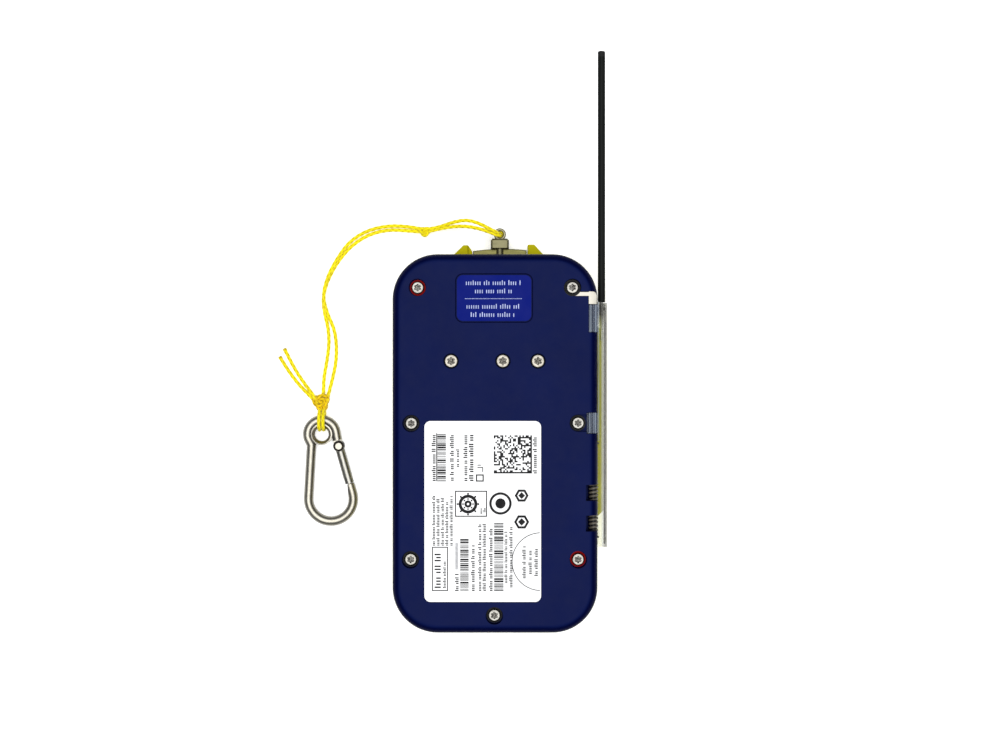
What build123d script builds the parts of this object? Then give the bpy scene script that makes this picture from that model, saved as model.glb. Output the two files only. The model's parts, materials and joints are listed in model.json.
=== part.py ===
"""Hand-held emergency position beacon with its antenna whip, clear antenna guard,
release pin, lanyard and small carabiner.

Millimetres. The beacon lies on its front face: z = 0 is that face and +Z points at the
back cover, +Y points along the antenna whip and +X at the side that carries the whip.
The origin is the centre of the housing's outline on the plane it rests on.
"""
from build123d import *
from math import acos, asin, atan2, cos, degrees, pi, radians, sin, sqrt, tan
import os

os.makedirs("parts", exist_ok=True)

# ---- housing ------------------------------------------------------------------------
WIDTH = 68.0
LENGTH = 125.6
THICKNESS = 27.0
CORNER_R = 15.0
EDGE_R = 3.0
WALL = 2.2
SPLIT_Z = 12.0            # parting plane between the front shell and the back cover
SHELL_INSET = 0.4         # the front shell is this much smaller all round
ROOF_Z = THICKNESS - WALL
CAVITY_RIGHT_X = 28.0     # the cover's wall is thick on the antenna side

# ---- fasteners ----------------------------------------------------------------------
CASE_SCREWS = [(-25.6, 51.6), (25.6, 51.6), (-27.7, 6.7), (27.5, 6.8),
               (-27.9, -38.3), (27.5, -38.3), (-0.2, -56.8)]
RETAINER_SCREW = CASE_SCREWS[1]
TAB_SCREW = CASE_SCREWS[3]
RED_WASHERS = [CASE_SCREWS[0], CASE_SCREWS[5]]
BLACK_WASHERS = [p for p in CASE_SCREWS if p not in RED_WASHERS and p != RETAINER_SCREW]
INNER_SCREWS = [(-14.5, 27.3), (2.6, 27.3), (14.2, 27.3)]
RECESS_R = 2.9
RECESS_Z = 24.0           # floor of the case screws' recesses
WASHER_T = 0.6
WASHER_R = 2.6
WASHER_BORE_R = 1.35
HEAD_R = 2.05
HEAD_H = 1.5
CASE_SCREW_TIP_Z = 6.2
SHANK_R = 1.22
CLEAR_R = 1.4
INSERT_R = 1.9
INSERT_BORE_R = 1.28
BOSS_R = 3.6
INNER_HEAD_R = 2.25
INNER_RECESS_R = 2.6
INNER_RECESS_Z = 25.3
INNER_SEAT_Z = 25.6
INNER_HEAD_H = 1.3
INNER_SCREW_TIP_Z = 17.6

# ---- antenna, guard and loading coil ------------------------------------------------
WHIP_X = 35.85
WHIP_Z = 16.5
WHIP_R = 1.25
WHIP_TOP_Y = 131.8
WHIP_FOOT_Y = 47.2
GUARD_TOP_Y = 46.9
GUARD_END_Y = -35.1
GUARD_R = 1.9
GUARD_BORE_R = 1.45
GUARD_LIP_R = WHIP_R + 0.06
GUARD_LIP = 1.2
WEB_X = WIDTH / 2 + 0.05
WEB_T = 0.7
WEB_END_Y = 1.0
TABS = [(31.1, 36.9, 46.0), (30.4, 3.4, 10.2)]      # inner X, low Y, high Y
TAB_Z = 24.5
TAB_T = 1.5
COIL_X = 32.9
COIL_Z = 20.0
COIL_R = 1.6
COIL_WIRE_R = 0.38
COIL_PITCH = 1.3
COIL_TURNS = 23
COIL_END_Y = -30.7
COIL_SLOT_R = 1.95
WINDOWS = [(-18.9, -13.6), (-29.0, -23.7)]
WINDOW_X = 30.0
RAIL_X = (33.0, 36.7)
RAIL_Y = (-25.0, 39.0)
RAIL_Z = (3.0, 13.4)
FOOT_R = 0.45
FOOT_END_Y = 34.4
RETAINER_EYE_R = 2.75
RETAINER_WASHER_R = 2.42
RETAINER_ARM = (26.6, 31.6, 48.85, 50.1)            # X and Y limits
RETAINER_BLOCK = (31.0, 33.75, 46.2, 50.3)

# ---- labels and the vacuum port under the seal label --------------------------------
SEAL_LABEL = (24.5, 15.1)
SEAL_LABEL_AT = (-0.3, 48.1)
SEAL_LABEL_Z = (26.75, 26.95)
RATING_LABEL = (38.5, 59.7)
RATING_LABEL_AT = (-4.05, -22.35)
RATING_LABEL_Z = (26.8, 26.98)
FRONT_LABEL = (48.0, 46.0)
FRONT_LABEL_AT = (0.0, -27.5)
FRONT_LABEL_Z = (0.08, 0.3)
LABEL_R = 2.0
LABEL_GAP = 0.3           # between a label and the edge of its recess
PORT_AT = (0.0, 48.1)
PORT_R = 1.2
PORT_SEAT_R = 3.0
PORT_SEAT_Z = 25.6

# ---- release pin and lanyard --------------------------------------------------------
PIN_X = 1.6
PIN_Z = 8.0
PIN_R = 1.28
PIN_BORE_R = 1.35
PIN_BOSS_R = 3.2
PIN_BOSS_END_Y = 47.0
EYE_Y = 70.85
EYE_R = 2.1
EYE_HOLE_R = 1.15
EYE_T = 1.6
COLLAR_W = 6.2
COLLAR_Y = (66.0, 69.2)
COLLAR_BORE_R = 0.8
BOW_X = (-7.6, 10.8)
BOW_Y = 63.6
BOW_TOP_Y = (65.15, 65.9, 65.45)                    # at its left end, middle and right end
BOW_Z = (3.4, 8.4)
EAR_Z = (2.5, 11.0)
SHAFT_Y = 51.0
MAGNET_Y = 49.0
PIN_SEAL_Y = 57.8
CORD_D = 1.3
EYE_KNOT = (1.7, 70.9, 6.0)
KNOT_MID = (-24.4, 72.6, 1.85)
KNOT_END_X = -60.2
KNOT_END_Z = 2.35
STRAND_A = [(1.4, 70.9, 7.4), (1.1, 71.1, 9.6), (-1.5, 72.3, 10.6), (-5.4, 74.5, 9.7),
            (-9.7, 75.9, 7.8), (-14.3, 75.4, 5.7), (-19.2, 73.8, 3.6), (-24.3, 73.0, 2.3),
            (-30.0, 74.2, 1.2), (-37.0, 74.6, 0.75), (-44.4, 73.0, 0.8), (-50.6, 69.0, 1.4),
            (-54.7, 63.2, 2.0), (-58.2, 56.6, 2.05), (-59.8, 50.0, 2.0), (-58.4, 44.2, 1.6),
            (-55.9, 38.8, 0.8), (-55.1, 33.0, 0.65), (-55.3, 27.0, 0.65), (-56.6, 21.0, 0.75),
            (-57.8, 16.2, 1.5), (-58.5, 12.7, 2.6), (-61.0, 12.2, 2.9), (-62.9, 15.5, 2.1),
            (-65.7, 19.0, 1.0), (-68.5, 22.9, 0.65), (-71.0, 27.3, 0.7), (-73.3, 31.9, 0.65)]
STRAND_B = [(2.0, 70.5, 7.4), (1.5, 70.2, 9.0), (-1.3, 71.3, 9.6), (-5.3, 72.8, 8.4),
            (-9.8, 73.8, 6.7), (-14.5, 73.9, 4.8), (-19.3, 73.3, 2.9), (-24.3, 72.2, 1.5),
            (-30.3, 72.8, 0.8), (-37.0, 73.2, 0.65), (-43.8, 71.6, 0.65), (-49.8, 67.8, 0.65),
            (-54.5, 62.4, 0.65), (-58.1, 56.0, 0.65), (-59.9, 50.0, 0.7), (-59.4, 44.4, 0.65),
            (-58.0, 39.0, 0.65), (-57.7, 33.4, 0.65), (-58.5, 27.4, 0.65), (-59.6, 21.4, 0.7),
            (-59.6, 16.8, 1.0), (-60.0, 13.4, 1.6), (-62.0, 12.8, 1.6), (-64.5, 15.7, 1.0),
            (-67.5, 18.5, 0.65), (-70.3, 22.0, 0.65), (-72.8, 25.6, 0.7), (-74.9, 29.1, 0.65)]
LOOP_SECTION = [(10.6, 3.4), (9.0, 5.2), (6.6, 5.85), (4.7, 5.5), (3.5, 3.3), (4.15, 0.9),
                (6.4, 0.66), (9.0, 0.7), (10.8, 1.5)]
LOOP_X = (-60.7, -59.3)

# ---- carabiner ----------------------------------------------------------------------
WIRE_R = 1.65
TOP_CENTRE = (-59.97, 2.33)
TOP_R = 4.91
BASE_CENTRE = (-56.92, -20.15)
BASE_R = 7.74
HINGE = (-54.05, -1.72)
LEG_TOP = (-63.55, -1.3)
NOSE_AT = 13.4            # from the hinge to the gate's end
NOSE_NECK = 0.95          # how deep the nose is cut back on its inner side
NOSE_LENGTH = 4.2
EYELET_R = 2.4
EYELET_FLANGE_R = 3.7
EYELET_Z = (0.15, 3.15)
GATE_R = 1.6
LIFT = 1.35               # the lanyard's loop lies under the top end
TILT = degrees(asin(LIFT / (TOP_CENTRE[1] + TOP_R - BASE_CENTRE[1] + BASE_R)))
TONGUE_R = 0.62
PIVOT_R = 0.62
CHEEK_R = 1.9
GATE_BORE_R = 0.85
GATE_BORE = (3.6, 9.0)    # along the gate, from the hinge
SPRING_R = 0.5
SPRING_WIRE_R = 0.24
SPRING_PITCH = 0.92

# ---- buttons on the front -----------------------------------------------------------
BUTTONS = {"activate": (-9.0, 10.0, 6.2), "test": (10.0, 10.0, 4.0)}     # X, Y, cap radius
BUTTON_FACE_Z = 0.7
BUTTON_STEP_Z = 3.3
LED_AT = (0.0, 20.0)
LED_HOLE_R = 1.6

# ---- board and batteries ------------------------------------------------------------
BOARD = (46.0, 52.5)
BOARD_Y = 20.25
BOARD_Z = (8.5, 10.1)
BRACKET = (45.0, 20.0)
BRACKET_Z = (18.5, 20.5)
BRACKET_BOSS_Z = 16.8
BRACKET_BOSS_R = 3.2
BRACKET_LEGS = [(sx * 19.0, y) for sx in (-1, 1) for y in (20.5, 34.0)]
CELL_X = (-10.2, 7.2)
CELL_R = 8.4
CELL_Z = 13.2
CELL_Y = (-49.6, -16.0)
TRAY_Y = (-50.6, -14.8)


def block(x0, x1, y0, y1, z0, z1):
    """A box between two corners."""
    return Pos((x0 + x1) / 2, (y0 + y1) / 2, (z0 + z1) / 2) * Box(x1 - x0, y1 - y0, z1 - z0)


def post(x, y, z0, z1, r):
    """A cylinder that stands along Z."""
    return Pos(x, y, (z0 + z1) / 2) * Cylinder(r, z1 - z0)


def rod_y(x, z, y0, y1, r):
    """A cylinder that lies along Y."""
    return Pos(x, (y0 + y1) / 2, z) * Rot(X=90) * Cylinder(r, y1 - y0)


def rod_x(y, z, x0, x1, r):
    """A cylinder that lies along X."""
    return Pos((x0 + x1) / 2, y, z) * Rot(Y=90) * Cylinder(r, x1 - x0)


def slab(width, length, r, z0, z1, x=0.0, y=0.0):
    """A plate with rounded corners."""
    return Pos(x, y, z0) * extrude(RectangleRounded(width, length, r), z1 - z0)


def label(size, at, limits, gap=0.0, top=None):
    """A label, or with a gap and a top the recess that it lies in."""
    width, length = size
    z0, z1 = limits
    return slab(width + 2 * gap, length + 2 * gap, LABEL_R, z0, top or z1, *at)


def ring(x, y, z0, z1, outer, inner):
    return post(x, y, z0, z1, outer) - post(x, y, z0 - 1, z1 + 1, inner)


def prism(points, z0, z1):
    """An outline in X and Y, pulled up from z0 to z1."""
    face = make_face(Polyline(*points, close=True))
    return Pos(0, 0, z0) * extrude(face, z1 - z0)


def edges_at(shape, axis, value, tolerance=1e-3):
    return shape.edges().filter_by_position(axis, value - tolerance, value + tolerance)


def ellipsoid(x, y, z, a, b, c):
    return Pos(x, y, z) * scale(Sphere(1.0), by=(a, b, c))


def group(shapes):
    """Separate solids of one kind, kept together in one node."""
    return Compound(children=[solid for shape in shapes for solid in shape.solids()])


# ---- housing ------------------------------------------------------------------------
def cover_outline(drop=0.0):
    """The back cover's outer form; drop lowers its top face."""
    body = slab(WIDTH, LENGTH, CORNER_R, SPLIT_Z, THICKNESS - drop)
    return fillet(edges_at(body, Axis.Z, THICKNESS - drop), EDGE_R)


def cover_cavity():
    left = -WIDTH / 2 + WALL
    width = CAVITY_RIGHT_X - left
    cavity = slab(width, LENGTH - 2 * WALL, CORNER_R - WALL, SPLIT_Z - 1, ROOF_Z,
                  x=left + width / 2)
    for x, y in CASE_SCREWS:
        cavity -= post(x, y, SPLIT_Z - 2, ROOF_Z + 1, BOSS_R)
    for x, y in INNER_SCREWS:
        cavity -= post(x, y, BRACKET_Z[1], ROOF_Z + 1, BRACKET_BOSS_R)
    return cavity


def guard_seats():
    """What the clear guard needs cut into the cover: a groove for its tube, a seat for
    each tab and a pocket for each tab's hook."""
    cuts = [rod_y(WHIP_X, WHIP_Z, GUARD_END_Y - 1, GUARD_TOP_Y + 1, GUARD_R + 0.25)]
    for inner, low, high in TABS:
        cuts.append(block(inner - 0.2, 36, low - 0.15, high + 0.15, TAB_Z - 0.1, 30))
        cuts.append(block(inner, inner + 1.0, low + 1.2, high - 1.2, 22.6, TAB_Z))
    return cuts


def coil_seat():
    """The side channel that holds the loading coil, and its two windows."""
    y0 = COIL_END_Y - 1.1
    y1 = WEB_END_Y - 0.4
    cuts = [rod_y(COIL_X, COIL_Z, y0, y1, COIL_SLOT_R),
            block(COIL_X, 36, y0, y1, COIL_Z - COIL_SLOT_R, COIL_Z + COIL_SLOT_R)]
    for low, high in WINDOWS:
        cuts.append(block(WINDOW_X, 36, low, high, COIL_Z, 30))
    return cuts


def back_cover():
    body = cover_outline() - cover_cavity()
    for x, y in CASE_SCREWS:
        body -= post(x, y, RECESS_Z, 30, RECESS_R)
        body -= post(x, y, SPLIT_Z - 1, RECESS_Z + 1, CLEAR_R)
    for x, y in INNER_SCREWS:
        body -= post(x, y, INNER_RECESS_Z, 30, INNER_RECESS_R)
        body -= post(x, y, 20, INNER_RECESS_Z + 1, CLEAR_R)
    x, y = TAB_SCREW
    body -= block(x, TABS[1][0], y - RECESS_R, y + RECESS_R, RECESS_Z, 30)
    for cut in guard_seats() + coil_seat() + [retainer_outline(0.15, 30)]:
        body -= cut
    body -= label(SEAL_LABEL, SEAL_LABEL_AT, SEAL_LABEL_Z, LABEL_GAP, 30)
    body -= label(RATING_LABEL, RATING_LABEL_AT, RATING_LABEL_Z, LABEL_GAP, 30)
    body -= post(*PORT_AT, PORT_SEAT_Z, 30, PORT_SEAT_R)
    return body - post(*PORT_AT, ROOF_Z - 1, PORT_SEAT_Z + 1, PORT_R)


def front_shell():
    width = WIDTH - 2 * SHELL_INSET
    length = LENGTH - 2 * SHELL_INSET
    body = slab(width, length, CORNER_R - SHELL_INSET, 0, SPLIT_Z)
    body = fillet(edges_at(body, Axis.Z, 0), EDGE_R)
    cavity = slab(WIDTH - 2 * WALL, LENGTH - 2 * WALL, CORNER_R - WALL, WALL, SPLIT_Z + 1)
    for x, y in CASE_SCREWS:
        cavity -= post(x, y, 0, SPLIT_Z + 2, BOSS_R)
    cavity -= rod_y(PIN_X, PIN_Z, PIN_BOSS_END_Y, LENGTH / 2, PIN_BOSS_R)
    body -= cavity
    body += ears() + guard_rail()
    body -= rod_y(PIN_X, PIN_Z, PIN_BOSS_END_Y + 1.5, LENGTH / 2 + 3, PIN_BORE_R)
    body -= rod_y(PIN_X, PIN_Z, PIN_SEAL_Y - 0.8, PIN_SEAL_Y + 0.8, 2.15)
    for x, y in CASE_SCREWS:
        body -= post(x, y, 5.0, SPLIT_Z + 1, INSERT_R)
    for x, y, r in BUTTONS.values():
        body -= post(x, y, -1, WALL + 1, r + 0.3)
    body -= post(*LED_AT, -1, WALL + 1, LED_HOLE_R)
    body -= label(FRONT_LABEL, FRONT_LABEL_AT, (-1, 0), LABEL_GAP, FRONT_LABEL_Z[1])
    return body - gasket_ring()


def ears():
    """Two horns that flank the release bow, each with a ledge that the bow rests on."""
    left = [(-14.2, 61.5), (-14.2, 63.6), (-10.8, 66.95), (-9.2, 66.95), (-7.9, 65.0), (-7.9, 61.5)]
    right = [(11.1, 61.5), (11.1, 66.9), (11.4, 67.15), (13.3, 67.15), (16.3, 63.9), (16.3, 61.5)]
    horns = prism(left, *EAR_Z) + prism(right, *EAR_Z)
    horns -= block(-9.3, -7.0, 60, 68, EAR_Z[1] - 1.4, EAR_Z[1] + 1)
    for x in (BOW_X[0] - 0.4, BOW_X[1] - 0.6):
        horns += block(x, x + 1.0, 61.5, BOW_Y - 0.15, *BOW_Z)
    return fillet(edges_at(horns, Axis.Z, EAR_Z[1]), 0.35)


def guard_rail():
    """A rib along the shell's side, under the clear guard."""
    low = block(*RAIL_X, *RAIL_Y, RAIL_Z[0], SPLIT_Z - 0.1)
    high = block(WIDTH / 2 + 0.25, RAIL_X[1], *RAIL_Y, SPLIT_Z - 0.1, RAIL_Z[1])
    rail = low + high
    return chamfer(rail.edges().filter_by(Axis.Z).group_by(Axis.X)[-1], 1.8)


def gasket_ring():
    """The rim's gasket, which fills its groove."""
    outer = slab(WIDTH - 2.4, LENGTH - 2.4, CORNER_R - 1.2, SPLIT_Z - 0.8, SPLIT_Z)
    return outer - slab(WIDTH - 4.0, LENGTH - 4.0, CORNER_R - 2.0, SPLIT_Z - 1, SPLIT_Z + 1)


# ---- fasteners ----------------------------------------------------------------------
def six_lobe(x, y, z, r, depth):
    """A six-lobed driver recess below height z."""
    tool = post(x, y, z - depth, z + 1, r * 0.78)
    for k in range(6):
        a = radians(60 * k + 30)
        tool += post(x + 0.72 * r * cos(a), y + 0.72 * r * sin(a), z - depth, z + 1, 0.3 * r)
    return tool


def screw(x, y, seat, head_r, head_h, tip):
    head = post(x, y, seat, seat + head_h, head_r)
    head = fillet(edges_at(head, Axis.Z, seat + head_h), 0.45)
    head -= six_lobe(x, y, seat + head_h, head_r * 0.6, 0.8)
    return head + post(x, y, tip, seat, SHANK_R)


def case_screws():
    """The retainer's screw sits one washer higher than the others."""
    screws = []
    for x, y in CASE_SCREWS:
        layers = 2 if (x, y) == RETAINER_SCREW else 1
        screws.append(screw(x, y, RECESS_Z + layers * WASHER_T, HEAD_R, HEAD_H, CASE_SCREW_TIP_Z))
    return group(screws)


def case_washers(places):
    return group([ring(x, y, RECESS_Z, RECESS_Z + WASHER_T, WASHER_R, WASHER_BORE_R)
                  for x, y in places])


def retainer_washer():
    z = RECESS_Z + WASHER_T
    return ring(*RETAINER_SCREW, z, z + WASHER_T, RETAINER_WASHER_R, WASHER_BORE_R)


def inserts(places, z0, z1):
    """Knurled brass inserts, with a waist round the middle."""
    pieces = []
    for x, y in places:
        middle = (z0 + z1) / 2
        waist = ring(x, y, middle - 0.4, middle + 0.4, INSERT_R + 1, INSERT_R - 0.3)
        pieces.append(ring(x, y, z0, z1, INSERT_R, INSERT_BORE_R) - waist)
    return group(pieces)


def inner_screws():
    return group([screw(x, y, INNER_SEAT_Z, INNER_HEAD_R, INNER_HEAD_H, INNER_SCREW_TIP_Z)
                  for x, y in INNER_SCREWS])


def inner_screw_seals():
    return group([ring(x, y, INNER_RECESS_Z, INNER_SEAT_Z, INNER_HEAD_R + 0.05, WASHER_BORE_R)
                  for x, y in INNER_SCREWS])


# ---- vacuum port --------------------------------------------------------------------
def vacuum_port_plug():
    top = PORT_SEAT_Z + 1.0
    plug = post(*PORT_AT, PORT_SEAT_Z, top, PORT_SEAT_R - 0.2)
    plug += post(*PORT_AT, ROOF_Z - 1.2, PORT_SEAT_Z, PORT_R - 0.05)
    return fillet(edges_at(plug, Axis.Z, top), 0.3)


# ---- antenna ------------------------------------------------------------------------
def retainer_outline(gap, top):
    """The arm and block of the guard's retainer, grown by gap."""
    x0, x1, y0, y1 = RETAINER_ARM
    arm = block(x0 - gap, x1, y0 - gap, y1 + gap, RECESS_Z, top)
    x0, x1, y0, y1 = RETAINER_BLOCK
    foot = block(x0 - gap, x1 + gap, y0 - gap, y1 + gap, RECESS_Z, top)
    foot = fillet(foot.edges().filter_by(Axis.Z).sort_by(Axis.X)[-2:].sort_by(Axis.Y)[-1], 1.4)
    return arm + foot


def guard_retainer():
    """A flat eye under the screw's washer, a raised arm and the block that holds the guard."""
    x, y = RETAINER_SCREW
    eye = post(x, y, RECESS_Z, RECESS_Z + WASHER_T, RETAINER_EYE_R)
    bar = retainer_outline(0, 28) & cover_outline(0.45)
    bar -= post(x, y, RECESS_Z + WASHER_T, 30, RECESS_R)
    link = prism([(26.6, 48.85), (28.2, 50.1), (27.4, 51.0), (25.2, 49.6)],
                 RECESS_Z, RECESS_Z + WASHER_T)
    return bar + eye + link - post(x, y, 20, 30, WASHER_BORE_R)


def antenna_guard():
    tube = rod_y(WHIP_X, WHIP_Z, GUARD_END_Y, GUARD_TOP_Y, GUARD_R)
    web = block(WEB_X, WEB_X + WEB_T, WEB_END_Y, GUARD_TOP_Y, WHIP_Z + 0.3, TAB_Z + TAB_T)
    body = tube + web
    for inner, low, high in TABS:
        body += block(inner, WEB_X + 0.1, low, high, TAB_Z, TAB_Z + TAB_T)
        body += block(inner + 0.1, inner + 0.85, low + 1.4, high - 1.4, 22.8, TAB_Z)
    body -= rod_y(WHIP_X, WHIP_Z, GUARD_END_Y + 1.0, GUARD_TOP_Y - GUARD_LIP, GUARD_BORE_R)
    body -= rod_y(WHIP_X, WHIP_Z, GUARD_TOP_Y - GUARD_LIP - 1, GUARD_TOP_Y + 1, GUARD_LIP_R)
    return body - rod_y(WHIP_X, WHIP_Z, GUARD_END_Y - 1, GUARD_END_Y + 2, 0.6)


def antenna_whip():
    return rod_y(WHIP_X, WHIP_Z, WHIP_FOOT_Y, WHIP_TOP_Y - 2.0, WHIP_R)


def antenna_tip():
    cap = rod_y(WHIP_X, WHIP_Z, WHIP_TOP_Y - 2.0, WHIP_TOP_Y, WHIP_R)
    return fillet(edges_at(cap, Axis.Y, WHIP_TOP_Y), 0.5)


def antenna_foot():
    """The whip's thin foot, with the collar that stops it at the guard's lip."""
    foot = rod_y(WHIP_X, WHIP_Z, FOOT_END_Y, WHIP_FOOT_Y, FOOT_R)
    stop_y = GUARD_TOP_Y - GUARD_LIP - 0.3
    stop = rod_y(WHIP_X, WHIP_Z, stop_y - 1.0, stop_y, GUARD_BORE_R - 0.08)
    return foot + stop


def loading_coil():
    path = Helix(COIL_PITCH, COIL_PITCH * COIL_TURNS, COIL_R - COIL_WIRE_R,
                 center=(COIL_X, COIL_END_Y, COIL_Z), direction=(0, 1, 0))
    section = Plane(origin=path @ 0, z_dir=path % 0) * Circle(COIL_WIRE_R)
    return sweep(section, path=path)


def coil_former():
    y0 = COIL_END_Y - 1.0
    y1 = COIL_END_Y + COIL_PITCH * COIL_TURNS + 0.9
    core = rod_y(COIL_X, COIL_Z, y0, y1, COIL_R - 2 * COIL_WIRE_R - 0.05)
    for y in (y0, y1 - 0.5):
        core += rod_y(COIL_X, COIL_Z, y, y + 0.5, COIL_SLOT_R - 0.1)
    return core


# ---- release pin --------------------------------------------------------------------
def release_bow():
    """The arched bar between the ears, which comes away with the pin."""
    x0, x1 = BOW_X
    y_left, y_mid, y_right = BOW_TOP_Y
    top = ThreePointArc((x0, y_left), (PIN_X, y_mid), (x1, y_right))
    sides = Polyline((x1, y_right), (x1, BOW_Y), (x0, BOW_Y), (x0, y_left))
    bar = Pos(0, 0, BOW_Z[0]) * extrude(make_face(Wire([top.edge()] + sides.edges())),
                                        BOW_Z[1] - BOW_Z[0])
    bar = fillet(edges_at(bar, Axis.Z, BOW_Z[1]), 0.4)
    return bar - rod_y(PIN_X, PIN_Z, 60, 68, PIN_R)


def eye_collar():
    low, high = COLLAR_Y
    half = COLLAR_W / 2
    body = block(PIN_X - half, PIN_X + half, low, high, PIN_Z - half, PIN_Z + half)
    body = fillet(body.edges().filter_by(Axis.Y), 0.8)
    body = chamfer(edges_at(body, Axis.Y, high), 0.6)
    body -= post(PIN_X, EYE_Y, PIN_Z - EYE_T / 2, PIN_Z + EYE_T / 2, EYE_R + 0.02)
    return body - rod_y(PIN_X, PIN_Z, low + 0.5, high + 1, COLLAR_BORE_R)


def lanyard_eye():
    eye = ring(PIN_X, EYE_Y, PIN_Z - EYE_T / 2, PIN_Z + EYE_T / 2, EYE_R, EYE_HOLE_R)
    eye = fillet(eye.edges().filter_by(GeomType.CIRCLE), 0.4)
    stem = rod_y(PIN_X, PIN_Z, COLLAR_Y[0] + 0.5, EYE_Y - EYE_R + 0.4, COLLAR_BORE_R)
    return eye + stem


def release_shaft():
    return rod_y(PIN_X, PIN_Z, SHAFT_Y, COLLAR_Y[0], PIN_R)


def release_magnet():
    return rod_y(PIN_X, PIN_Z, MAGNET_Y, SHAFT_Y, PIN_R)


def pin_seal():
    return Pos(PIN_X, PIN_SEAL_Y, PIN_Z) * Rot(X=90) * Torus(PIN_R + 0.45, 0.4)


# ---- lanyard ------------------------------------------------------------------------
def cord_radii(points):
    """Each corner's arc: 0.45 of the shorter run, divided by the tangent of half the turn."""
    runs = [Vector(*b) - Vector(*a) for a, b in zip(points, points[1:])]
    radii = []
    for before, after in zip(runs, runs[1:]):
        half_turn = radians(before.get_angle(after) / 2)
        radii.append(0.45 * min(before.length, after.length) / tan(half_turn))
    return radii


def cord(name, points):
    """A plain tube along straight runs joined by tangent arcs."""
    radii = cord_radii(points)
    path = FilletPolyline(*points, radius=radii)
    section = Plane(origin=path @ 0, z_dir=path % 0) * Circle(CORD_D / 2)
    tube = sweep(section, path=path)
    wanted = pi * CORD_D ** 2 / 4 * path.length
    print(f"{name}: length {path.length:.1f}, volume {tube.volume / wanted:.3f} of section x length")
    print("  radii " + " ".join(f"{r:.1f}" for r in radii))
    return tube


def eyelet_loop():
    """The lanyard's doubled bight round the carabiner's top, under its end knot."""
    tubes = []
    for x in LOOP_X:
        tubes.append(cord("eyelet loop", [(x, y, z) for y, z in LOOP_SECTION]))
    return group(tubes)


def eye_knot():
    """The stopper knot that holds both strands under the eye."""
    return ellipsoid(*EYE_KNOT, 1.8, 1.7, 1.25)


def knot_mid():
    return ellipsoid(*KNOT_MID, 2.2, 1.65, 1.8)


def knot_end():
    """A pear-shaped body, widest under the tails, with a lobe at each side."""
    top = (0, 16.3)
    tail = (0, 8.7)
    side = ThreePointArc(top, (2.3, 13.0), (1.5, 10.0))
    rest = Polyline((1.5, 10.0), (1.1, 8.7), tail, top)
    profile = make_face(Wire([side.edge()] + rest.edges()))
    body = Pos(KNOT_END_X, 0, KNOT_END_Z) * revolve(profile, axis=Axis.Y)
    lobe_y, lobe_z, lobe_r = 14.3, 1.95, 1.75
    x0, x1 = KNOT_END_X - 1.4, KNOT_END_X + 1.5
    body += rod_x(lobe_y, lobe_z, x0, x1, lobe_r)
    for x in (x0, x1):
        body += Pos(x, lobe_y, lobe_z) * Sphere(lobe_r)
    return body


# ---- carabiner ----------------------------------------------------------------------
def lean(shape):
    """Tilts a carabiner piece about the line where its lower end meets the ground."""
    y = BASE_CENTRE[1] - BASE_R
    return Pos(0, y, 0) * Rot(X=TILT) * Pos(0, -y, 0) * shape


def tangent_point(point, centre, r, side):
    """Where a line from the point touches a circle: side is +1 for the touching point
    that lies counter-clockwise from the point, as the centre sees it, and -1 for the other."""
    dx, dy = centre[0] - point[0], centre[1] - point[1]
    reach = sqrt(dx * dx + dy * dy)
    a = atan2(-dy, -dx) + side * acos(r / reach)
    return centre[0] + r * cos(a), centre[1] + r * sin(a)


def wire_bar(a, b, r=WIRE_R, z=WIRE_R):
    dx, dy = b[0] - a[0], b[1] - a[1]
    plane = Plane(origin=(a[0], a[1], z), z_dir=(dx, dy, 0))
    return extrude(plane * Circle(r), sqrt(dx * dx + dy * dy))


def wire_bend(centre, radius, start, end):
    """A bent stretch of wire from one polar angle to another, in radians."""
    where = (centre[0] + radius * cos(start), centre[1] + radius * sin(start), WIRE_R)
    section = Plane(origin=where, z_dir=(-sin(start), cos(start), 0)) * Circle(WIRE_R)
    axis = Axis((centre[0], centre[1], WIRE_R), (0, 0, 1))
    return revolve(section, axis=axis, revolution_arc=degrees(end - start))


def polar(centre, point):
    return atan2(point[1] - centre[1], point[0] - centre[0])


def along_gate(distance):
    """A point on the gate's axis, measured from the hinge."""
    foot = tangent_point(HINGE, BASE_CENTRE, BASE_R, -1)
    dx, dy = foot[0] - HINGE[0], foot[1] - HINGE[1]
    reach = sqrt(dx * dx + dy * dy)
    return HINGE[0] + dx * distance / reach, HINGE[1] + dy * distance / reach


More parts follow.
